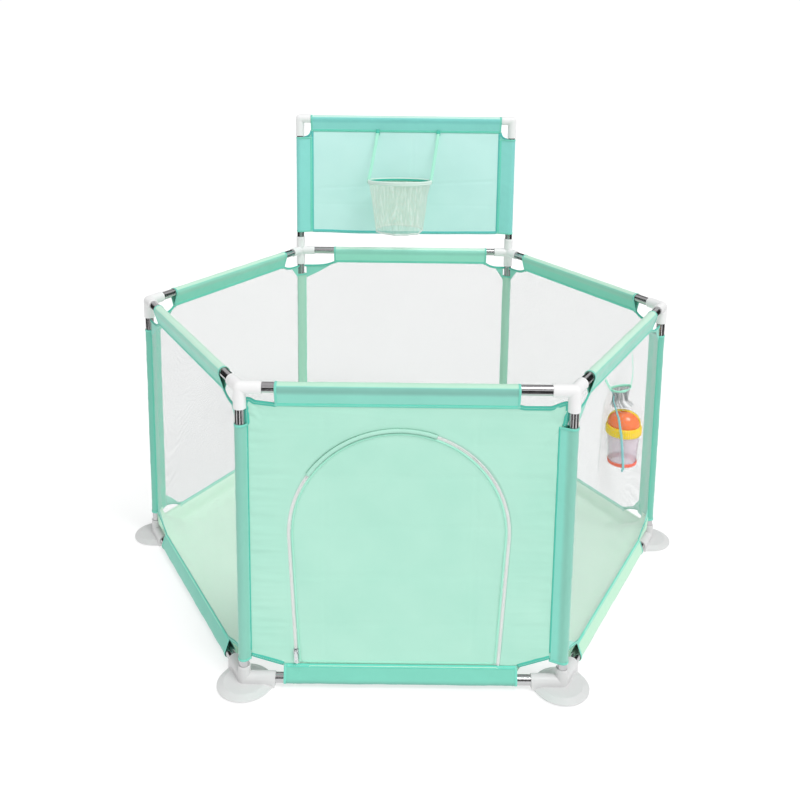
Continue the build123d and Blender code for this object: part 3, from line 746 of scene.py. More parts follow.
def front_out(x, z, edge):
    """How far the front cloth stands out, edge being the distance to the nearest seam."""
    side = HALF_SIDE - NARROW_SEAM - abs(x)
    fade = smooth(edge / (26 * MM))
    corner = ridge(math.hypot(abs(x) - CRUMPLED[0], z - CRUMPLED[1]), 30 * MM) * smooth(edge / (6 * MM))
    wide = 2.4 * rough(x / 0.19, z / 0.15, 2.0) + 0.8 * rough(x / 0.06, z / 0.045, 3.0)
    pulls = 1.8 * ridge(side, 55 * MM) * rough(x / 0.12, z / 0.0085, 8.0)
    pulls += 0.7 * ridge(side, 140 * MM) * rough(x / 0.2, z / 0.007, 5.0)
    bend = 4 * MM * rough(x / 0.1)
    creases = sum(0.7 * ridge(z - height + bend, 3.2 * MM) for height in CREASE_HEIGHTS)
    creases += sum(0.6 * ridge(x - place, 3 * MM) for place in CREASE_PLACES)
    crumple = 3.4 * corner * rough(x / 0.011 + z / 0.02, z / 0.012 - x / 0.03, 6.0)
    return (wide * fade + pulls * smooth(edge / (7 * MM)) - creases * fade + crumple) * MM


def front_outline():
    """Keys of the panel's outer edge: place along the doorway's arch as a share, x and z."""
    left, right = -HALF_SIDE + NARROW_SEAM, wall_half("front", 1)
    low_left, low_right = (BOTTOM_SHIFT["front"] + end * SLEEVE_LENGTH / 2 for end in (-1, 1))
    top_left, top_right = (TOP_SHIFT["front"] + end * SLEEVE_LENGTH / 2 for end in (-1, 1))
    leg = DOOR_ARCH_Z - ZIP_BOTTOM
    straight = leg / (2 * leg + math.pi * DOOR_RADIUS)
    left_side = [(0.0, low_left, BOTTOM_SEAM_Z), (0.12 * straight, left, WALL_POST_BOTTOM),
                 (straight, left, SHOULDER_Z), (0.31, left, 553 * MM)]
    left_corner = [(0.33, left - 1 * MM, 575 * MM), (0.35, left - 1.5 * MM, 601 * MM),
                   (0.36, left + 6 * MM, 599.5 * MM), (0.375, left + 14 * MM, 594.5 * MM)]
    top = [(0.40, top_left, 590 * MM), (0.43, -215 * MM, TOP_SEAM_Z), (0.57, 180 * MM, TOP_SEAM_Z),
           (0.595, top_right, 590.5 * MM), (0.605, top_right + 9 * MM, 588.5 * MM)]
    right_corner = [(0.63, 271 * MM, 588.5 * MM), (0.635, 279 * MM, 591 * MM), (0.643, 294 * MM, 597.5 * MM),
                    (0.65, 303 * MM, 599.5 * MM), (0.66, 303.5 * MM, 589 * MM), (0.672, 302 * MM, 575 * MM),
                    (0.68, 300.5 * MM, 565 * MM), (0.688, 299.5 * MM, 556 * MM),
                    (0.696, right + 3 * MM, 549 * MM)]
    right_side = [(0.70, right, 542 * MM), (1 - straight, right, SHOULDER_Z),
                  (1 - 0.12 * straight, right, WALL_POST_BOTTOM), (1.0, low_right, BOTTOM_SEAM_Z)]
    return left_side + left_corner + top + right_corner + right_side


def at_share(keys, share):
    for (a, x0, z0), (b, x1, z1) in zip(keys, keys[1:]):
        if share <= b:
            t = (share - a) / (b - a)
            return Vector((mix(x0, x1, t), 0, mix(z0, z1, t)))
    return Vector((keys[-1][1], 0, keys[-1][2]))


def on_front(point, out):
    return Vector((point.x, -APOTHEM - out, point.z))


inner = arch(3.2 * MM, BOTTOM_SEAM_Z, 3.6 * MM)
outline = front_outline()


def panel_at(u, v):
    """A point of the panel, u from the doorway out to the edge and v along the arch."""
    start, outer = inner[round(v * (len(inner) - 1))], at_share(outline, v)
    point = start.lerp(outer, u)
    edge = min((point - start).length, (outer - point).length)
    return on_front(point, front_out(point.x, point.z, edge)), (point.x, point.z)


made = Pieces()
made.grid(*lattice(len(inner) - 1, 30, panel_at), flip=True)
front_panel = thicken(made.piece("front_panel", mint))
dress(front_panel, "pen", "mint_fabric", "wall_front")

trim = Pieces()
BOUND = ((0.308, 0.403, 40), (0.592, 0.692, 40), (0.0, outline[1][0], 12), (outline[-2][0], 1.0, 12))
for low, high, parts in BOUND:  # from and to along the arch as shares, and steps between
    path = [on_front(at_share(outline, mix(low, high, i / parts)), 0) for i in range(parts + 1)]
    add_tape(trim, path, FRONT, FRONT_BINDING, 2.2 * MM, 0, 0.3 * MM)
    for outward in (FRONT, -FRONT):
        add_stitches(trim, [point + outward * 1.0 * MM for point in path], outward, 1)
for x in (-HALF_SIDE + NARROW_SEAM, wall_half("front", 1)):
    for outward in (FRONT, -FRONT):
        seam = [Vector((x, -APOTHEM, z)) + outward * 0.5 * MM for z in (77 * MM, 552 * MM)]
        add_tape(trim, spaced(seam, 5 * MM), outward, 3.2 * MM, 0.9 * MM, 0, 0.3 * MM)
front_binding = dress(trim.piece("front_panel_binding", dark_teal, thread_mint), "pen", "sleeve_fabric")


# ---- Door flap ----
def resample(path, count):
    return spaced(path, lengths(path)[-1] / count)


def patch(bottom, top, left, right):
    """Rows of points that fill the space between four edges."""
    rows = []
    for j in range(len(left)):
        v = j / (len(left) - 1)
        row = []
        for i in range(len(bottom)):
            u = i / (len(bottom) - 1)
            ruled = bottom[i].lerp(top[i], v) + left[j].lerp(right[j], u)
            row.append(ruled - bottom[0].lerp(bottom[-1], u).lerp(top[0].lerp(top[-1], u), v))
        rows.append(row)
    return rows


def inside_door(point):
    """Distance from a point on the flap to the nearest edge."""
    side = DOOR_RADIUS - abs(point.x - DOOR_X) - max(0.0, DOOR_ARCH_Z - point.z) * math.tan(DOOR_LEAN)
    if point.z > DOOR_ARCH_Z:
        side = DOOR_RADIUS - math.hypot(point.x - DOOR_X, point.z - DOOR_ARCH_Z)
    return max(0.0, min(side, point.z - ZIP_BOTTOM))


FLAP_QUADS = 80
flap_edge = arch(-3.2 * MM, ZIP_BOTTOM + 2 * MM)
shoulder = round(len(flap_edge) * 0.34)
flap_rows = patch(*(resample(edge, FLAP_QUADS) for edge in (
    [flap_edge[0], flap_edge[-1]], flap_edge[shoulder:-shoulder],
    flap_edge[:shoulder + 1], flap_edge[-shoulder - 1:][::-1])))
rows = [[on_front(point, front_out(point.x, point.z, inside_door(point))) for point in row]
        for row in flap_rows]
made = Pieces()
made.grid(rows, [[(point.x, point.z) for point in row] for row in flap_rows])
door_flap = thicken(made.piece("door_flap_cloth", mint))
dress(door_flap, "door", "mint_fabric", "door_flap")

hem = Pieces()
line = [on_front(point, 0.3 * MM) for point in arch(-6.5 * MM, ZIP_BOTTOM + 3 * MM)]
add_tape(hem, line, FRONT, 3.6 * MM, 1.3 * MM, 0, 0.15 * MM)
stitch_line = arch(-9.5 * MM, ZIP_BOTTOM + 3 * MM)
for outward in (FRONT, -FRONT):
    add_stitches(hem, [on_front(point, 0) + outward * 0.9 * MM for point in stitch_line], outward, 1)
hem_left, hem_right = flap_edge[0].x + 7 * MM, flap_edge[-1].x - 7 * MM
bottom_hem = [Vector((mix(hem_left, hem_right, i / 60), -APOTHEM, ZIP_BOTTOM + 4 * MM)) for i in range(61)]
add_tape(hem, bottom_hem, FRONT, 5 * MM, 1.2 * MM, 0, 0.3 * MM)
door_hem = dress(hem.piece("door_flap_binding", ribbon_cloth, thread_mint), "door", "ribbon")

# ---- Zip ----
TOOTH_PITCH = 2.0 * MM
WELT_START, WELT_END = 0.33, 0.56  # the stretch of the arch where a fold of the panel covers the zip
for owner, body, sign, nodes in (("wall", "pen", 1, ["door_zip"]), ("flap", "door", -1, [])):
    chain = Pieces()
    tape_line = [on_front(point, -0.2 * MM) for point in arch(sign * 3.6 * MM, ZIP_BOTTOM)]
    add_tape(chain, tape_line, FRONT, 5.6 * MM, 0.7 * MM)
    teeth_line = [on_front(point, 0) for point in arch(sign * 0.75 * MM, ZIP_BOTTOM, TOOTH_PITCH)]
    for point, (along, across, out) in zip(teeth_line, directions(teeth_line, FRONT)):
        for outward in (out, -out):
            chain.bead(point + along * (TOOTH_PITCH / 4 * sign), across, along, outward,
                       1.7 * MM, 0.62 * MM, 1.2 * MM, 1)
    dress(chain.piece(f"zip_tape_{owner}", zip_cloth, zip_teeth), body, "zip_tape", *nodes)

welt = Pieces()
arch_line = arch(1.5 * MM, ZIP_BOTTOM)
welt_line = arch_line[round(len(arch_line) * WELT_START):round(len(arch_line) * WELT_END)]
add_tape(welt, [on_front(point, 2.6 * MM) for point in welt_line], FRONT, 7.5 * MM, 1.6 * MM, 0, 0.4 * MM)
dress(welt.piece("zip_welt", mint), "pen", "mint_fabric")

# ---- Floor ----
# How the cloth rises to its edge: (distance in, height), in millimetres
SIDE_PROFILE = ((0, 45), (6, 38), (11.5, 29), (13.8, 17), (16.5, 11), (24, 7), (42, 4), (80, 3))
CORNER_PROFILE = ((13, 75), (18, 61), (26, 45), (38, 34), (54, 25), (76, 12), (120, 3))
FLAT_HEIGHT = 3
OPEN_CORNERS = ("front_left", "front_right")  # where the floor stops short of the foot
OPEN_REACH = 96 * MM
FLOOR_RINGS, FLOOR_SPOKES = 84, 600


def profile_height(profile, distance):
    """Height of the cloth in millimetres at a distance from its edge."""
    for (d0, h0), (d1, h1) in zip(profile, profile[1:]):
        if distance < d1 * MM:
            share = (distance / MM - d0) / (d1 - d0)
            return mix(h0, h1, (smooth(share) + share) / 2)
    return profile[-1][1]


def floor_reach(angle):
    """From the middle of the pen to the floor's edge at an angle in degrees."""
    straight = APOTHEM / math.cos(math.radians(angle % 60 - 30))
    off = CORNER_RADIUS * math.sin(math.radians(min(angle % 60, 60 - angle % 60)))
    opened = any(abs((angle - CORNERS[corner] + 180) % 360 - 180) < 30 for corner in OPEN_CORNERS)
    clear = OPEN_REACH if opened else NARROW_SEAM
    if off >= clear:
        return straight
    return min(straight, math.sqrt(CORNER_RADIUS ** 2 - off ** 2) - math.sqrt(clear ** 2 - off ** 2))


def floor_height(spot, inside):
    side_gap = min(APOTHEM - spot.dot(level(angle)) for angle in SIDES.values())
    gaps = {corner: (spot - level(angle) * CORNER_RADIUS).length for corner, angle in CORNERS.items()}
    open_gap = min(gaps.pop(corner) for corner in OPEN_CORNERS)
    height = max(profile_height(SIDE_PROFILE, max(0.0, side_gap)),
                 profile_height(CORNER_PROFILE, max(CORNER_PROFILE[0][0] * MM, min(gaps.values()))))
    height = mix(FLAT_HEIGHT, height, smooth((open_gap - OPEN_REACH) / (35 * MM)))
    fold = 1.6 * abs(rough(spot.x / 0.16, spot.y / 0.13, 4))
    fold += 0.9 * abs(rough(spot.x / 0.05, spot.y / 0.07, 9))
    return (height + fold * smooth(inside / (60 * MM))) * MM


rows, places = [], []
for j in range(FLOOR_RINGS + 1):
    share = 1 - (1 - j / FLOOR_RINGS) ** 2
    row = []
    for i in range(FLOOR_SPOKES):
        angle = 360 * i / FLOOR_SPOKES
        reach = floor_reach(angle)
        spot = level(angle) * reach * share
        row.append(spot + UP * floor_height(spot, reach * (1 - share)))
    rows.append(row)
    places.append([(point.x, point.y) for point in row + row[:1]])
made = Pieces()
made.grid(rows, places, closed=True)
floor_piece = thicken(made.piece("floor_cloth", floor_cloth))
dress(floor_piece, "pen", "floor_fabric", "floor_sheet")
trim = Pieces()
add_tape(trim, rows[-1] + rows[-1][:1], UP, BINDING, 1.4 * MM)
floor_binding = dress(trim.piece("floor_binding", floor_cloth), "pen", "sleeve_fabric")

# ---- Backboard ----
BOARD_CREASES = (829 * MM, 767 * MM)  # heights, the upper one deeper and a little askew
rail_start = Vector((-BOARD_SLEEVE_HALF, APOTHEM, BOARD_RAIL_Z))
sleeve("board_top_sleeve", rail_start, Vector((1, 0, 0)), 2 * BOARD_SLEEVE_HALF, DOWN,
       BOARD_RAIL_Z - BOARD_TOP_SEAM, "backboard", "backboard_sleeves", 71.0, lit_board_teal)
for name, end in (("left", -1), ("right", 1)):
    x = end * HALF_SIDE
    sleeve(f"board_side_sleeve_{name}", Vector((x, APOTHEM, BOARD_BOTTOM)), UP, BOARD_SLEEVE_TOP - BOARD_BOTTOM,
           Vector((-end, 0, 0)), HALF_SIDE - BOARD_SIDE_SEAM, "backboard", "backboard_sleeves", 83.0 + x,
           lit_board_teal)


def board_out(x, z):
    """How far the board's cloth stands out towards the doorway."""
    edge = min(BOARD_SIDE_SEAM - abs(x), BOARD_TOP_SEAM - z)
    wide = 2.2 * rough(x / 0.17, z / 0.12, 5) + 0.7 * rough(x / 0.05, z / 0.04, 1)
    crease = 0.8 * ridge(z - BOARD_CREASES[0] - 0.05 * x, 3 * MM) + 0.5 * ridge(z - BOARD_CREASES[1], 2.5 * MM)
    crease += 0.7 * ridge(x - 20 * MM, 3 * MM)
    curl = 2.5 * ridge(z - BOARD_BOTTOM, 25 * MM) * rough(x / 0.12, 3)
    return (wide - crease) * smooth(edge / (30 * MM)) * MM + curl * MM * smooth(edge / (25 * MM))


def board_at(u, v):
    """A point of the board's cloth, whose bottom edge hangs a little low in the middle."""
    x = mix(-BOARD_SIDE_SEAM, BOARD_SIDE_SEAM, u)
    bottom = BOARD_BOTTOM - (2.6 * (1 - (x / BOARD_SIDE_SEAM) ** 2) + 1.2 * rough(x / 0.09, 6.0)) * MM
    z = mix(bottom, BOARD_TOP_SEAM, v)
    return Vector((x, APOTHEM - board_out(x, z), z)), (x, z)


rows, places = lattice(80, 130, board_at)
made = Pieces()
made.grid(rows, places)
board = thicken(made.piece("board_cloth", lit_board_mint))
dress(board, "backboard", "mint_fabric", "backboard_sheet")
trim = Pieces()
add_tape(trim, [point + UP * 3 * MM for point in rows[0]], FRONT, 9 * MM, 2.2 * MM, 0, 0.3 * MM)
for column in (0, -1):
    add_tape(trim, [row[column] for row in rows], FRONT, BINDING, 2.4 * MM, 0, 0.2 * MM)
for end in (-1, 1):
    curve = []
    for i in range(17):
        turn = math.radians(90 * i / 16)
        curve.append(Vector((end * (BOARD_SLEEVE_HALF + 20 * MM * (1 - math.cos(turn))), APOTHEM,
                             BOARD_TOP_SEAM + 2 * MM - 19 * MM * math.sin(turn))))
    corner = Vector((end * BOARD_SIDE_SEAM, APOTHEM, BOARD_SLEEVE_TOP - 6 * MM))
    web_rows = [curve, [mix(point, corner, 0.98) for point in curve]]
    add_tape(trim, curve, FRONT, BINDING * 0.8, 2.0 * MM)
    trim.grid(web_rows, [[(point.x, point.z) for point in line] for line in web_rows], 1)
for outward in (FRONT, -FRONT):
    add_stitches(trim, [point + outward * 1.0 * MM + UP * 1.2 * MM for point in rows[0]], outward, 2)
board_trim = thicken(trim.piece("board_binding", board_dark_teal, teal, thread_mint), 0.4 * MM)
dress(board_trim, "backboard", "sleeve_fabric")

# ---- Hoop ----
rim_low, rim_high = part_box("hoop_rim")
RIM = (rim_low + rim_high) / 2
RIM_RADIUS = (rim_high.x - rim_low.x) / 2 - (rim_high.z - rim_low.z) / 2
HOOP_TILT = math.tan(math.radians(5))  # the rim's front hangs a little high
NET_RADIUS, NET_HEIGHT = 80 * MM, 160 * MM  # as flat cloth
NET_TOP, NET_BOTTOM = RIM.z - 4 * MM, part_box("hoop_net")[0].z
NET_BOTTOM_RADIUS = 70 * MM
from_rim = away_from(RIM, 0)


def ring_point(centre, radius, share, lift=0.0, tilt=HOOP_TILT):
    """A point on a tilted ring round a centre, at a share of the turn."""
    angle = 2 * math.pi * share
    out = radius * math.sin(angle)
    return centre + Vector((radius * math.cos(angle), out, lift - tilt * out))


def rim_line(out, lift):
    """A line round the rim, this far out from its wire and up."""
    return [ring_point(RIM, RIM_RADIUS + out, j / 120, lift) for j in range(121)]


rim = Pieces()
rows, places = [], []
for j in range(121):
    row = []
    for i in range(14):
        turn = 2 * math.pi * i / 14
        thick = 3.4 * MM * (1 + 0.09 * rough(j / 2.1, i / 3) + 0.05 * math.sin(turn * 2))
        row.append(ring_point(RIM, RIM_RADIUS + thick * math.cos(turn), j / 120, thick * 1.12 * math.sin(turn)))
    rows.append(row)
    places.append([(RIM_RADIUS * 2 * math.pi * j / 120, 1.6 * MM * i) for i in range(15)])
rim.grid(rows, places, closed=True)
add_tape(rim, rim_line(2.0 * MM, -5.5 * MM), from_rim, 6 * MM, 1.4 * MM, 0, 0.2 * MM)
add_tape(rim, rim_line(-3.6 * MM, -2.5 * MM), from_rim, 7 * MM, 1.0 * MM, 2, 0.2 * MM)
add_stitches(rim, rim_line(2.6 * MM, -6.5 * MM), from_rim, 1)
dress(rim.piece("hoop_rim_cloth", rim_cloth, thread_mint, dark_teal), "hoop", "ribbon", "hoop_rim")

rows, places = [], []
for j in range(61):
    share = j / 60
    row = []
    for i in range(160):
        turn = i / 160
        angle = 2 * math.pi * turn
        folds = 2.6 * math.sin(9 * angle + 0.7 * math.pi * math.sin(2.5 * angle)) * smooth(share * 1.4)
        folds += 3.0 * rough(math.cos(angle) * 1.6, math.sin(angle) * 1.6, share * 1.4)
        radius = mix(RIM_RADIUS, NET_BOTTOM_RADIUS, share ** 0.9) + (folds - 2.0) * smooth(share * 3) * MM
        drop = (NET_TOP - NET_BOTTOM - 3 * MM) * share + 2.0 * MM * rough(turn * 5, 3.0) * share
        centre = Vector((RIM.x, RIM.y, NET_TOP - drop))
        row.append(ring_point(centre, radius, turn, 0.0, HOOP_TILT * (1 - share)))
    rows.append(row)
    places.append([(2 * math.pi * NET_RADIUS * i / 160, share * NET_HEIGHT) for i in range(161)])
made = Pieces()
made.grid(rows, places, closed=True)
net = made.piece("hoop_net_cloth", net_mesh)
dress(net, "hoop", "net", "hoop_net")
net_hem = Pieces()
add_tape(net_hem, rows[-1] + rows[-1][:1], from_rim, 5 * MM, 1.2 * MM)
hem_piece = dress(net_hem.piece("hoop_net_hem", zip_cloth), "hoop", "net")

ribbons, tabs = Pieces(), Pieces()
for end in (-1, 1):
    low = RIM + Vector((end * RIM_RADIUS, 0, 2 * MM))
    high = Vector((low.x + 23 * MM, APOTHEM - 4.5 * MM, BOARD_TOP_SEAM))
    path = [low + DOWN * 9 * MM, low + DOWN * 3 * MM]
    path += [low.lerp(high, i / 30) + DOWN * 5 * MM * math.sin(math.pi * i / 30) for i in range(31)]
    add_tape(ribbons, path, (high - low).cross(Vector((1, 0, 0))).normalized(), 9 * MM, 0.9 * MM, 0, 0.3 * MM)
    tab = [high + FRONT * 1.5 * MM + UP * rise for rise in (-9 * MM, 0, 8 * MM)]
    add_tape(tabs, tab, FRONT, 12 * MM, 1.6 * MM)
dress(ribbons.piece("hoop_ribbons_cloth", ribbon_cloth), "hoop", "ribbon", "hoop_ribbons")
dress(tabs.piece("hoop_ribbon_tabs", dark_teal), "backboard", "ribbon")

# ---- Pocket ----
POCKET_AXIS = side_point(POCKET_SIDE, POCKET_ALONG, POCKET_OUT, 0)
POCKET_FOOT, POCKET_TOP = (corner.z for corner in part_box("pocket"))
TAIL_Z = POCKET_FOOT - 8 * MM
MOUTH_Z = POCKET_TOP - 2 * MM
MOUTH_OUT = -11 * MM  # from the bag's axis to the middle of its mouth
MOUTH_REACH = (25 * MM, 9 * MM)
MOUTH_TURN = math.radians(36)
BAG_RADIUS = 41 * MM
BAG_FOOT_RADIUS = 35 * MM
GATHER_Z = 487 * MM  # above the cup the bag draws in to a neck
NECK_Z = 511 * MM
# The seam's way down the bag: (turn, height)
SEAM_KEYS = ((0.6, MOUTH_Z), (0.5, 487 * MM), (0.472, 449 * MM), (0.44, 371 * MM), (0.435, TAIL_Z))
RIBBON_ENDS = ((0.6, -135 * MM), (0.1, 55 * MM))  # turn at the mouth, place along the top seam
side_along, side_out = level(SIDES[POCKET_SIDE] + 90), level(SIDES[POCKET_SIDE])
from_pocket = away_from(POCKET_AXIS, 0)


def round_pocket(turn, radius, z):
    """A point round the pocket's axis, turn 0 being along the side and a quarter out of the pen."""
    angle = 2 * math.pi * turn
    outward = side_along * math.cos(angle) + side_out * math.sin(angle)
    return POCKET_AXIS + outward * radius + Vector((0, 0, z))


def bag_point(turn, z, lift=0.0):
    """A point on the bag: round over the cup, gathered to a narrow mouth above it and closed below."""
    angle = 2 * math.pi * turn
    above = smooth((z - GATHER_Z) / (NECK_Z - GATHER_Z))
    radius = mix(BAG_FOOT_RADIUS, BAG_RADIUS, smooth((z - POCKET_FOOT) / (80 * MM)))
    if z < POCKET_FOOT + 4 * MM:
        radius *= max(0.02, (z - TAIL_Z) / (POCKET_FOOT + 4 * MM - TAIL_Z)) ** 0.4
    radius += lift + 0.7 * MM * rough(turn * 9, z / 0.03) * smooth((z - 377 * MM) / (30 * MM))
    folds = 3.2 * math.sin(angle * 9 + 60 * (z - GATHER_Z)) + 1.5 * rough(turn * 14, z / 0.02)
    radius += folds * math.sin(math.pi * min(above, 0.85)) * MM
    spin = angle - MOUTH_TURN
    pleat = 2.4 * MM * math.sin(angle * 11 + 50 * (z - GATHER_Z)) * smooth((MOUTH_Z - z) / (16 * MM))
    flare = mix(0.72, 1.0, smooth((z - MOUTH_Z + 14 * MM) / (14 * MM)))
    mouth_long = (MOUTH_REACH[0] * flare + lift + pleat) * math.cos(spin)
    mouth_short = (MOUTH_REACH[1] + lift + pleat) * math.sin(spin)
    mouth_along = mouth_long * math.cos(MOUTH_TURN) - mouth_short * math.sin(MOUTH_TURN)
    mouth_out = MOUTH_OUT + mouth_long * math.sin(MOUTH_TURN) + mouth_short * math.cos(MOUTH_TURN)
    along = mix(radius * math.cos(angle), mouth_along, above)
    out = mix(radius * math.sin(angle), mouth_out, above)
    sag = 5 * MM * max(0.0, math.sin(spin)) * smooth((z - NECK_Z) / (MOUTH_Z - NECK_Z))
    return POCKET_AXIS + side_along * along + side_out * out + Vector((0, 0, z - sag))


rows, places = [], []
for j in range(101):
    z = mix(TAIL_Z + 3 * MM, MOUTH_Z, j / 100)
    rows.append([bag_point(i / 144, z) for i in range(144)])
    places.append([(0.26 * i / 144, z) for i in range(145)])
gather = next(j for j, row in enumerate(rows) if row[0].z > GATHER_Z + 14 * MM)
made = Pieces()
made.grid(rows[:gather + 1], places[:gather + 1], closed=True)
made.grid(rows[gather:], places[gather:], 1, closed=True)
bag = made.piece("pocket_bag", bag_mesh, shaded_gathered_mesh)
dress(bag, "pocket", "net", "pocket")

trim = Pieces()
mouth_line = [bag_point(i / 90, MOUTH_Z, 0.6 * MM) for i in range(91)]
add_tape(trim, mouth_line, from_pocket, 6 * MM, 1.6 * MM, 1, 0.2 * MM)
seam_line = []
for (turn_0, z_0), (turn_1, z_1) in zip(SEAM_KEYS, SEAM_KEYS[1:]):
    seam_line += [bag_point(mix(turn_0, turn_1, i / 16), mix(z_0, z_1, i / 16), 1.0 * MM) for i in range(16)]
seam_line.append(seam_line[-1] + DOWN * 7 * MM)
add_tape(trim, seam_line, from_pocket, 5 * MM, 1.3 * MM, 0, 0.2 * MM)
for mouth_turn, top_along in RIBBON_ENDS:
    low = bag_point(mouth_turn, MOUTH_Z - 2 * MM, 1.2 * MM)
    high = side_point(POCKET_SIDE, top_along, 3.2 * MM, TOP_SEAM_Z - 1.5 * MM)
    slack = side_out * 4 * MM + DOWN * 5 * MM
    path = [low.lerp(high, i / 24) + slack * math.sin(math.pi * i / 24) for i in range(25)]
    add_tape(trim, path, side_out, 7 * MM, 0.9 * MM, 1, 0.3 * MM)
pocket_trim = trim.piece("pocket_binding", pocket_binding, ribbon_cloth)
dress(pocket_trim, "pocket", "ribbon", "pocket_ribbons")

# ---- Cup ----
BODY_LOW, BODY_HIGH = (corner.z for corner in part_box("cup_body"))
COLLAR_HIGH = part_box("cup_collar")[1].z
COLLAR_HEIGHT = (COLLAR_HIGH - BODY_HIGH) / MM
LID_HEIGHT = (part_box("cup_lid")[1].z - COLLAR_HIGH) / MM
LID_RADIUS = 32.8
# Profiles: (radius, height above the part's foot), in millimetres
BODY_PROFILE = ((0.2, 5.0), (23, 5.0), (25.5, 2.0), (27, 1.0), (29.2, 1.6), (30, 4.0), (30.4, 12), (32.3, 38),
                (34.2, 62), (34.5, 69.5), (32.7, 69.5), (32.3, 62), (30.5, 38), (28.6, 12), (27.6, 8.2),
                (23, 7.2), (0.2, 7.2))
BASE_PROFILE = ((24, 0.4), (28.5, 0.6), (30.8, 2.2), (31.4, 5.5), (31.2, 8.5), (30.4, 9.5), (30.3, 7),
                (29.2, 4), (26, 2.6), (24, 2.4), (24, 0.4))
RIBBED_PROFILE = ((37.9, 0.6), (38.4, 3), (38.1, COLLAR_HEIGHT - 4), (37.0, COLLAR_HEIGHT - 1))
COLLAR_PROFILE = ((33.0, -1), (36.6, -1), *RIBBED_PROFILE, (35.5, COLLAR_HEIGHT), (27.4, COLLAR_HEIGHT),
                  (27.0, COLLAR_HEIGHT - 1), (27.0, 1), (33.0, -1))
DOME_TURNS = [math.radians(a) for a in range(8, 89, 8)]
DOME = [(LID_RADIUS * math.cos(a) ** 0.8, 0.4 + (LID_HEIGHT - 0.4) * math.sin(a)) for a in DOME_TURNS]
LID_PROFILE = ((26.5, -5), (26.7, 0.2), (LID_RADIUS, 0.35), *DOME, (0.2, LID_HEIGHT))


def turned(name, profile, foot, material, count=72, ribs=0):
    """A part turned round the pocket's axis from its foot, with ribs where its profile is RIBBED_PROFILE."""
    rows = []
    for radius, height in profile:
        depth = 0.7 * MM if ribs and (radius, height) in RIBBED_PROFILE else 0.0
        rows.append([round_pocket(i / count, radius * MM - depth * abs(math.sin(math.pi * ribs * i / count)),
                                  foot + height * MM) for i in range(count)])
    marks = lengths([Vector((radius * MM, 0, height * MM)) for radius, height in profile])
    made = Pieces()
    made.grid(rows, [[(0.2 * i / count, mark) for i in range(count + 1)] for mark in marks], closed=True)
    return made.piece(name, material)


dress(turned("cup_body_clear", BODY_PROFILE, BODY_LOW, clear_plastic), "cup", "clear_plastic", "cup_body")
dress(turned("cup_base_ring", BASE_PROFILE, BODY_LOW, coral_plastic), "cup", "orange_plastic")
collar = turned("cup_collar_ribbed", COLLAR_PROFILE, BODY_HIGH, yellow_plastic, count=288, ribs=48)
dress(collar, "cup", "yellow_plastic", "cup_collar")
lid = thicken(turned("cup_lid_dome", LID_PROFILE, COLLAR_HIGH, orange_plastic), 0.8 * MM, -1.0)
dress(lid, "lid", "orange_plastic", "cup_lid")
band = Pieces()
across = side_along * math.cos(math.radians(80)) + side_out * math.sin(math.radians(80))
arc = []
for i in range(41):
    angle = math.pi * i / 40
    height = COLLAR_HIGH + (1 + (LID_HEIGHT + 1.2) * math.sin(angle) ** 0.8) * MM
    arc.append(POCKET_AXIS - across * 34.0 * MM * math.cos(angle) + UP * height)
add_tape(band, arc, away_from(POCKET_AXIS + UP * (COLLAR_HIGH - 8 * MM)), 9 * MM, 2.2 * MM)
dress(band.piece("cup_lid_band", yellow_plastic), "lid", "yellow_plastic")


# ---- Materials of the hard parts ----
def hard_finish(name):
    """The material of a CAD node that is shown as it is, or None for the rest."""
    if "rail" in name or name.startswith(("post_", "backboard_post")):
        return steel
    if name.startswith("foot_corner"):
        return foot_plastic
    if "corner" in name or "elbow" in name:
        return white_plastic
    if name.startswith("zip_"):
        return zip_metal
    return clear_pvc if name == "suction_cups" else None


for name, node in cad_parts.items():
    if hard_finish(name) and not node.hide_render:
        node.data.materials.clear()
        node.data.materials.append(hard_finish(name))

# ---- Studio ----
# Black flags stand round the pen, unseen, and show as dark streaks on its chrome tubes
FLAG_RINGS = (((0.9, 0.004), (1.25, 0.004)), ((1.7, 0.2), (1.7, 0.75)))  # (reach, height) of both edges
UPRIGHT_FLAGS = ((150, 196), (206, 252), (292, 312), (330, 392), (60, 110))  # from and to, in degrees
LYING_FLAGS = ((176, 214), (228, 258), (274, 300), (322, 356), (20, 60), (110, 150))
GROUND = 30.0
CAMERA_AT = Vector((-0.0216, -2.1857, 1.2873))
YAW, PITCH, ROLL = 0.0021, 0.1720, 0.0122


def add_flag(edges, steps, closed=False):
    """A flag between two level arcs, given by the reach and height of each."""
    flag_rows = [[level(angle) * reach + UP * z for angle in steps] for reach, z in edges]
    flags.grid(flag_rows, [[(0.0, 0.0)] * (len(steps) + 1)] * 2, closed=closed)


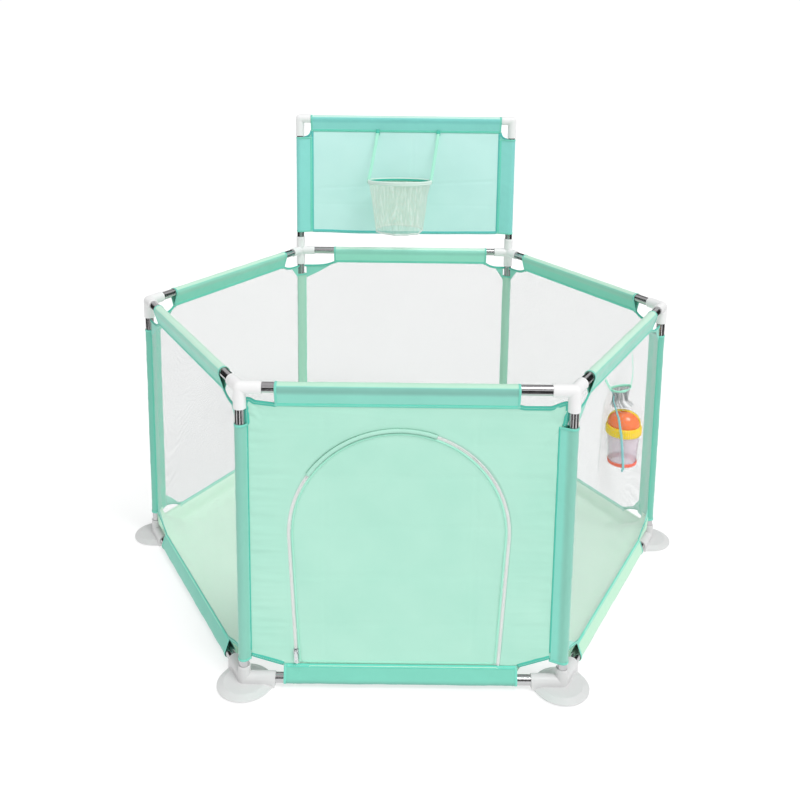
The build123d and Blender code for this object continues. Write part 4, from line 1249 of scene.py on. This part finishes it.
ground_mesh = bpy.data.meshes.new("ground")
ground_corners = [(-GROUND, -GROUND, 0), (GROUND, -GROUND, 0), (GROUND, GROUND, 0), (-GROUND, GROUND, 0)]
ground_mesh.from_pydata(ground_corners, [], [(0, 1, 2, 3)])
ground = add_object("ground", ground_mesh)
ground_mesh.materials.append(shader("ground_paper", Base_Color=(0.4, 0.4, 0.4, 1), Roughness=1.0,
                                    Emission_Color=(1, 1, 1, 1), Emission_Strength=0.64)[0])

flags = Pieces()
for edges in FLAG_RINGS:
    add_flag(edges, range(0, 360, 6), closed=True)
for first_angle, last_angle in UPRIGHT_FLAGS:
    add_flag(((1.9, 0.3), (1.9, 2.4)), range(first_angle, last_angle + 1, 2))
for first_angle, last_angle in LYING_FLAGS:
    add_flag(((1.3, 0.006), (2.9, 0.006)), range(first_angle, last_angle + 1, 2))
flag = flags.piece("studio_flags", shader("black_flag", Base_Color=(0.01, 0.01, 0.01, 1), Roughness=1.0)[0])
flag.visible_camera = flag.visible_diffuse = flag.visible_shadow = flag.visible_transmission = False

world = bpy.data.worlds.new("studio")
bpy.context.scene.world = world
world.use_nodes = True
view_direction = add_node(world.node_tree, "TexCoord").outputs["Generated"]
upward = add_node(world.node_tree, "SeparateXYZ", Vector=view_direction).outputs["Z"]
fill(world.node_tree.nodes["Background"], Color=(1, 1, 1, 1),
     Strength=stretch(world.node_tree, upward, 0.12, 0.3, 1.03, 0.62))

sun_light = bpy.data.lights.new("sun", "SUN")
sun_light.energy = 1.6
sun_light.angle = math.radians(24)
sun = add_object("sun", sun_light)
sun.rotation_euler = Vector((-0.35, 0.4, -1)).to_track_quat("-Z", "Y").to_euler()

bpy.context.scene.view_settings.view_transform = "Standard"
forward = Vector((math.sin(YAW) * math.cos(PITCH), math.cos(YAW) * math.cos(PITCH), -math.sin(PITCH)))
right = Vector((math.cos(YAW), -math.sin(YAW), 0))
above = right.cross(forward)
x_axis = right * math.cos(ROLL) + above * math.sin(ROLL)
y_axis = above * math.cos(ROLL) - right * math.sin(ROLL)
camera = add_object("camera", bpy.data.cameras.new("camera"))
camera.matrix_world = Matrix.Translation(CAMERA_AT) @ Matrix((x_axis, y_axis, -forward)).transposed().to_4x4()
camera.data.lens = 41.51
camera.data.shift_y = -0.2625
bpy.context.scene.camera = camera
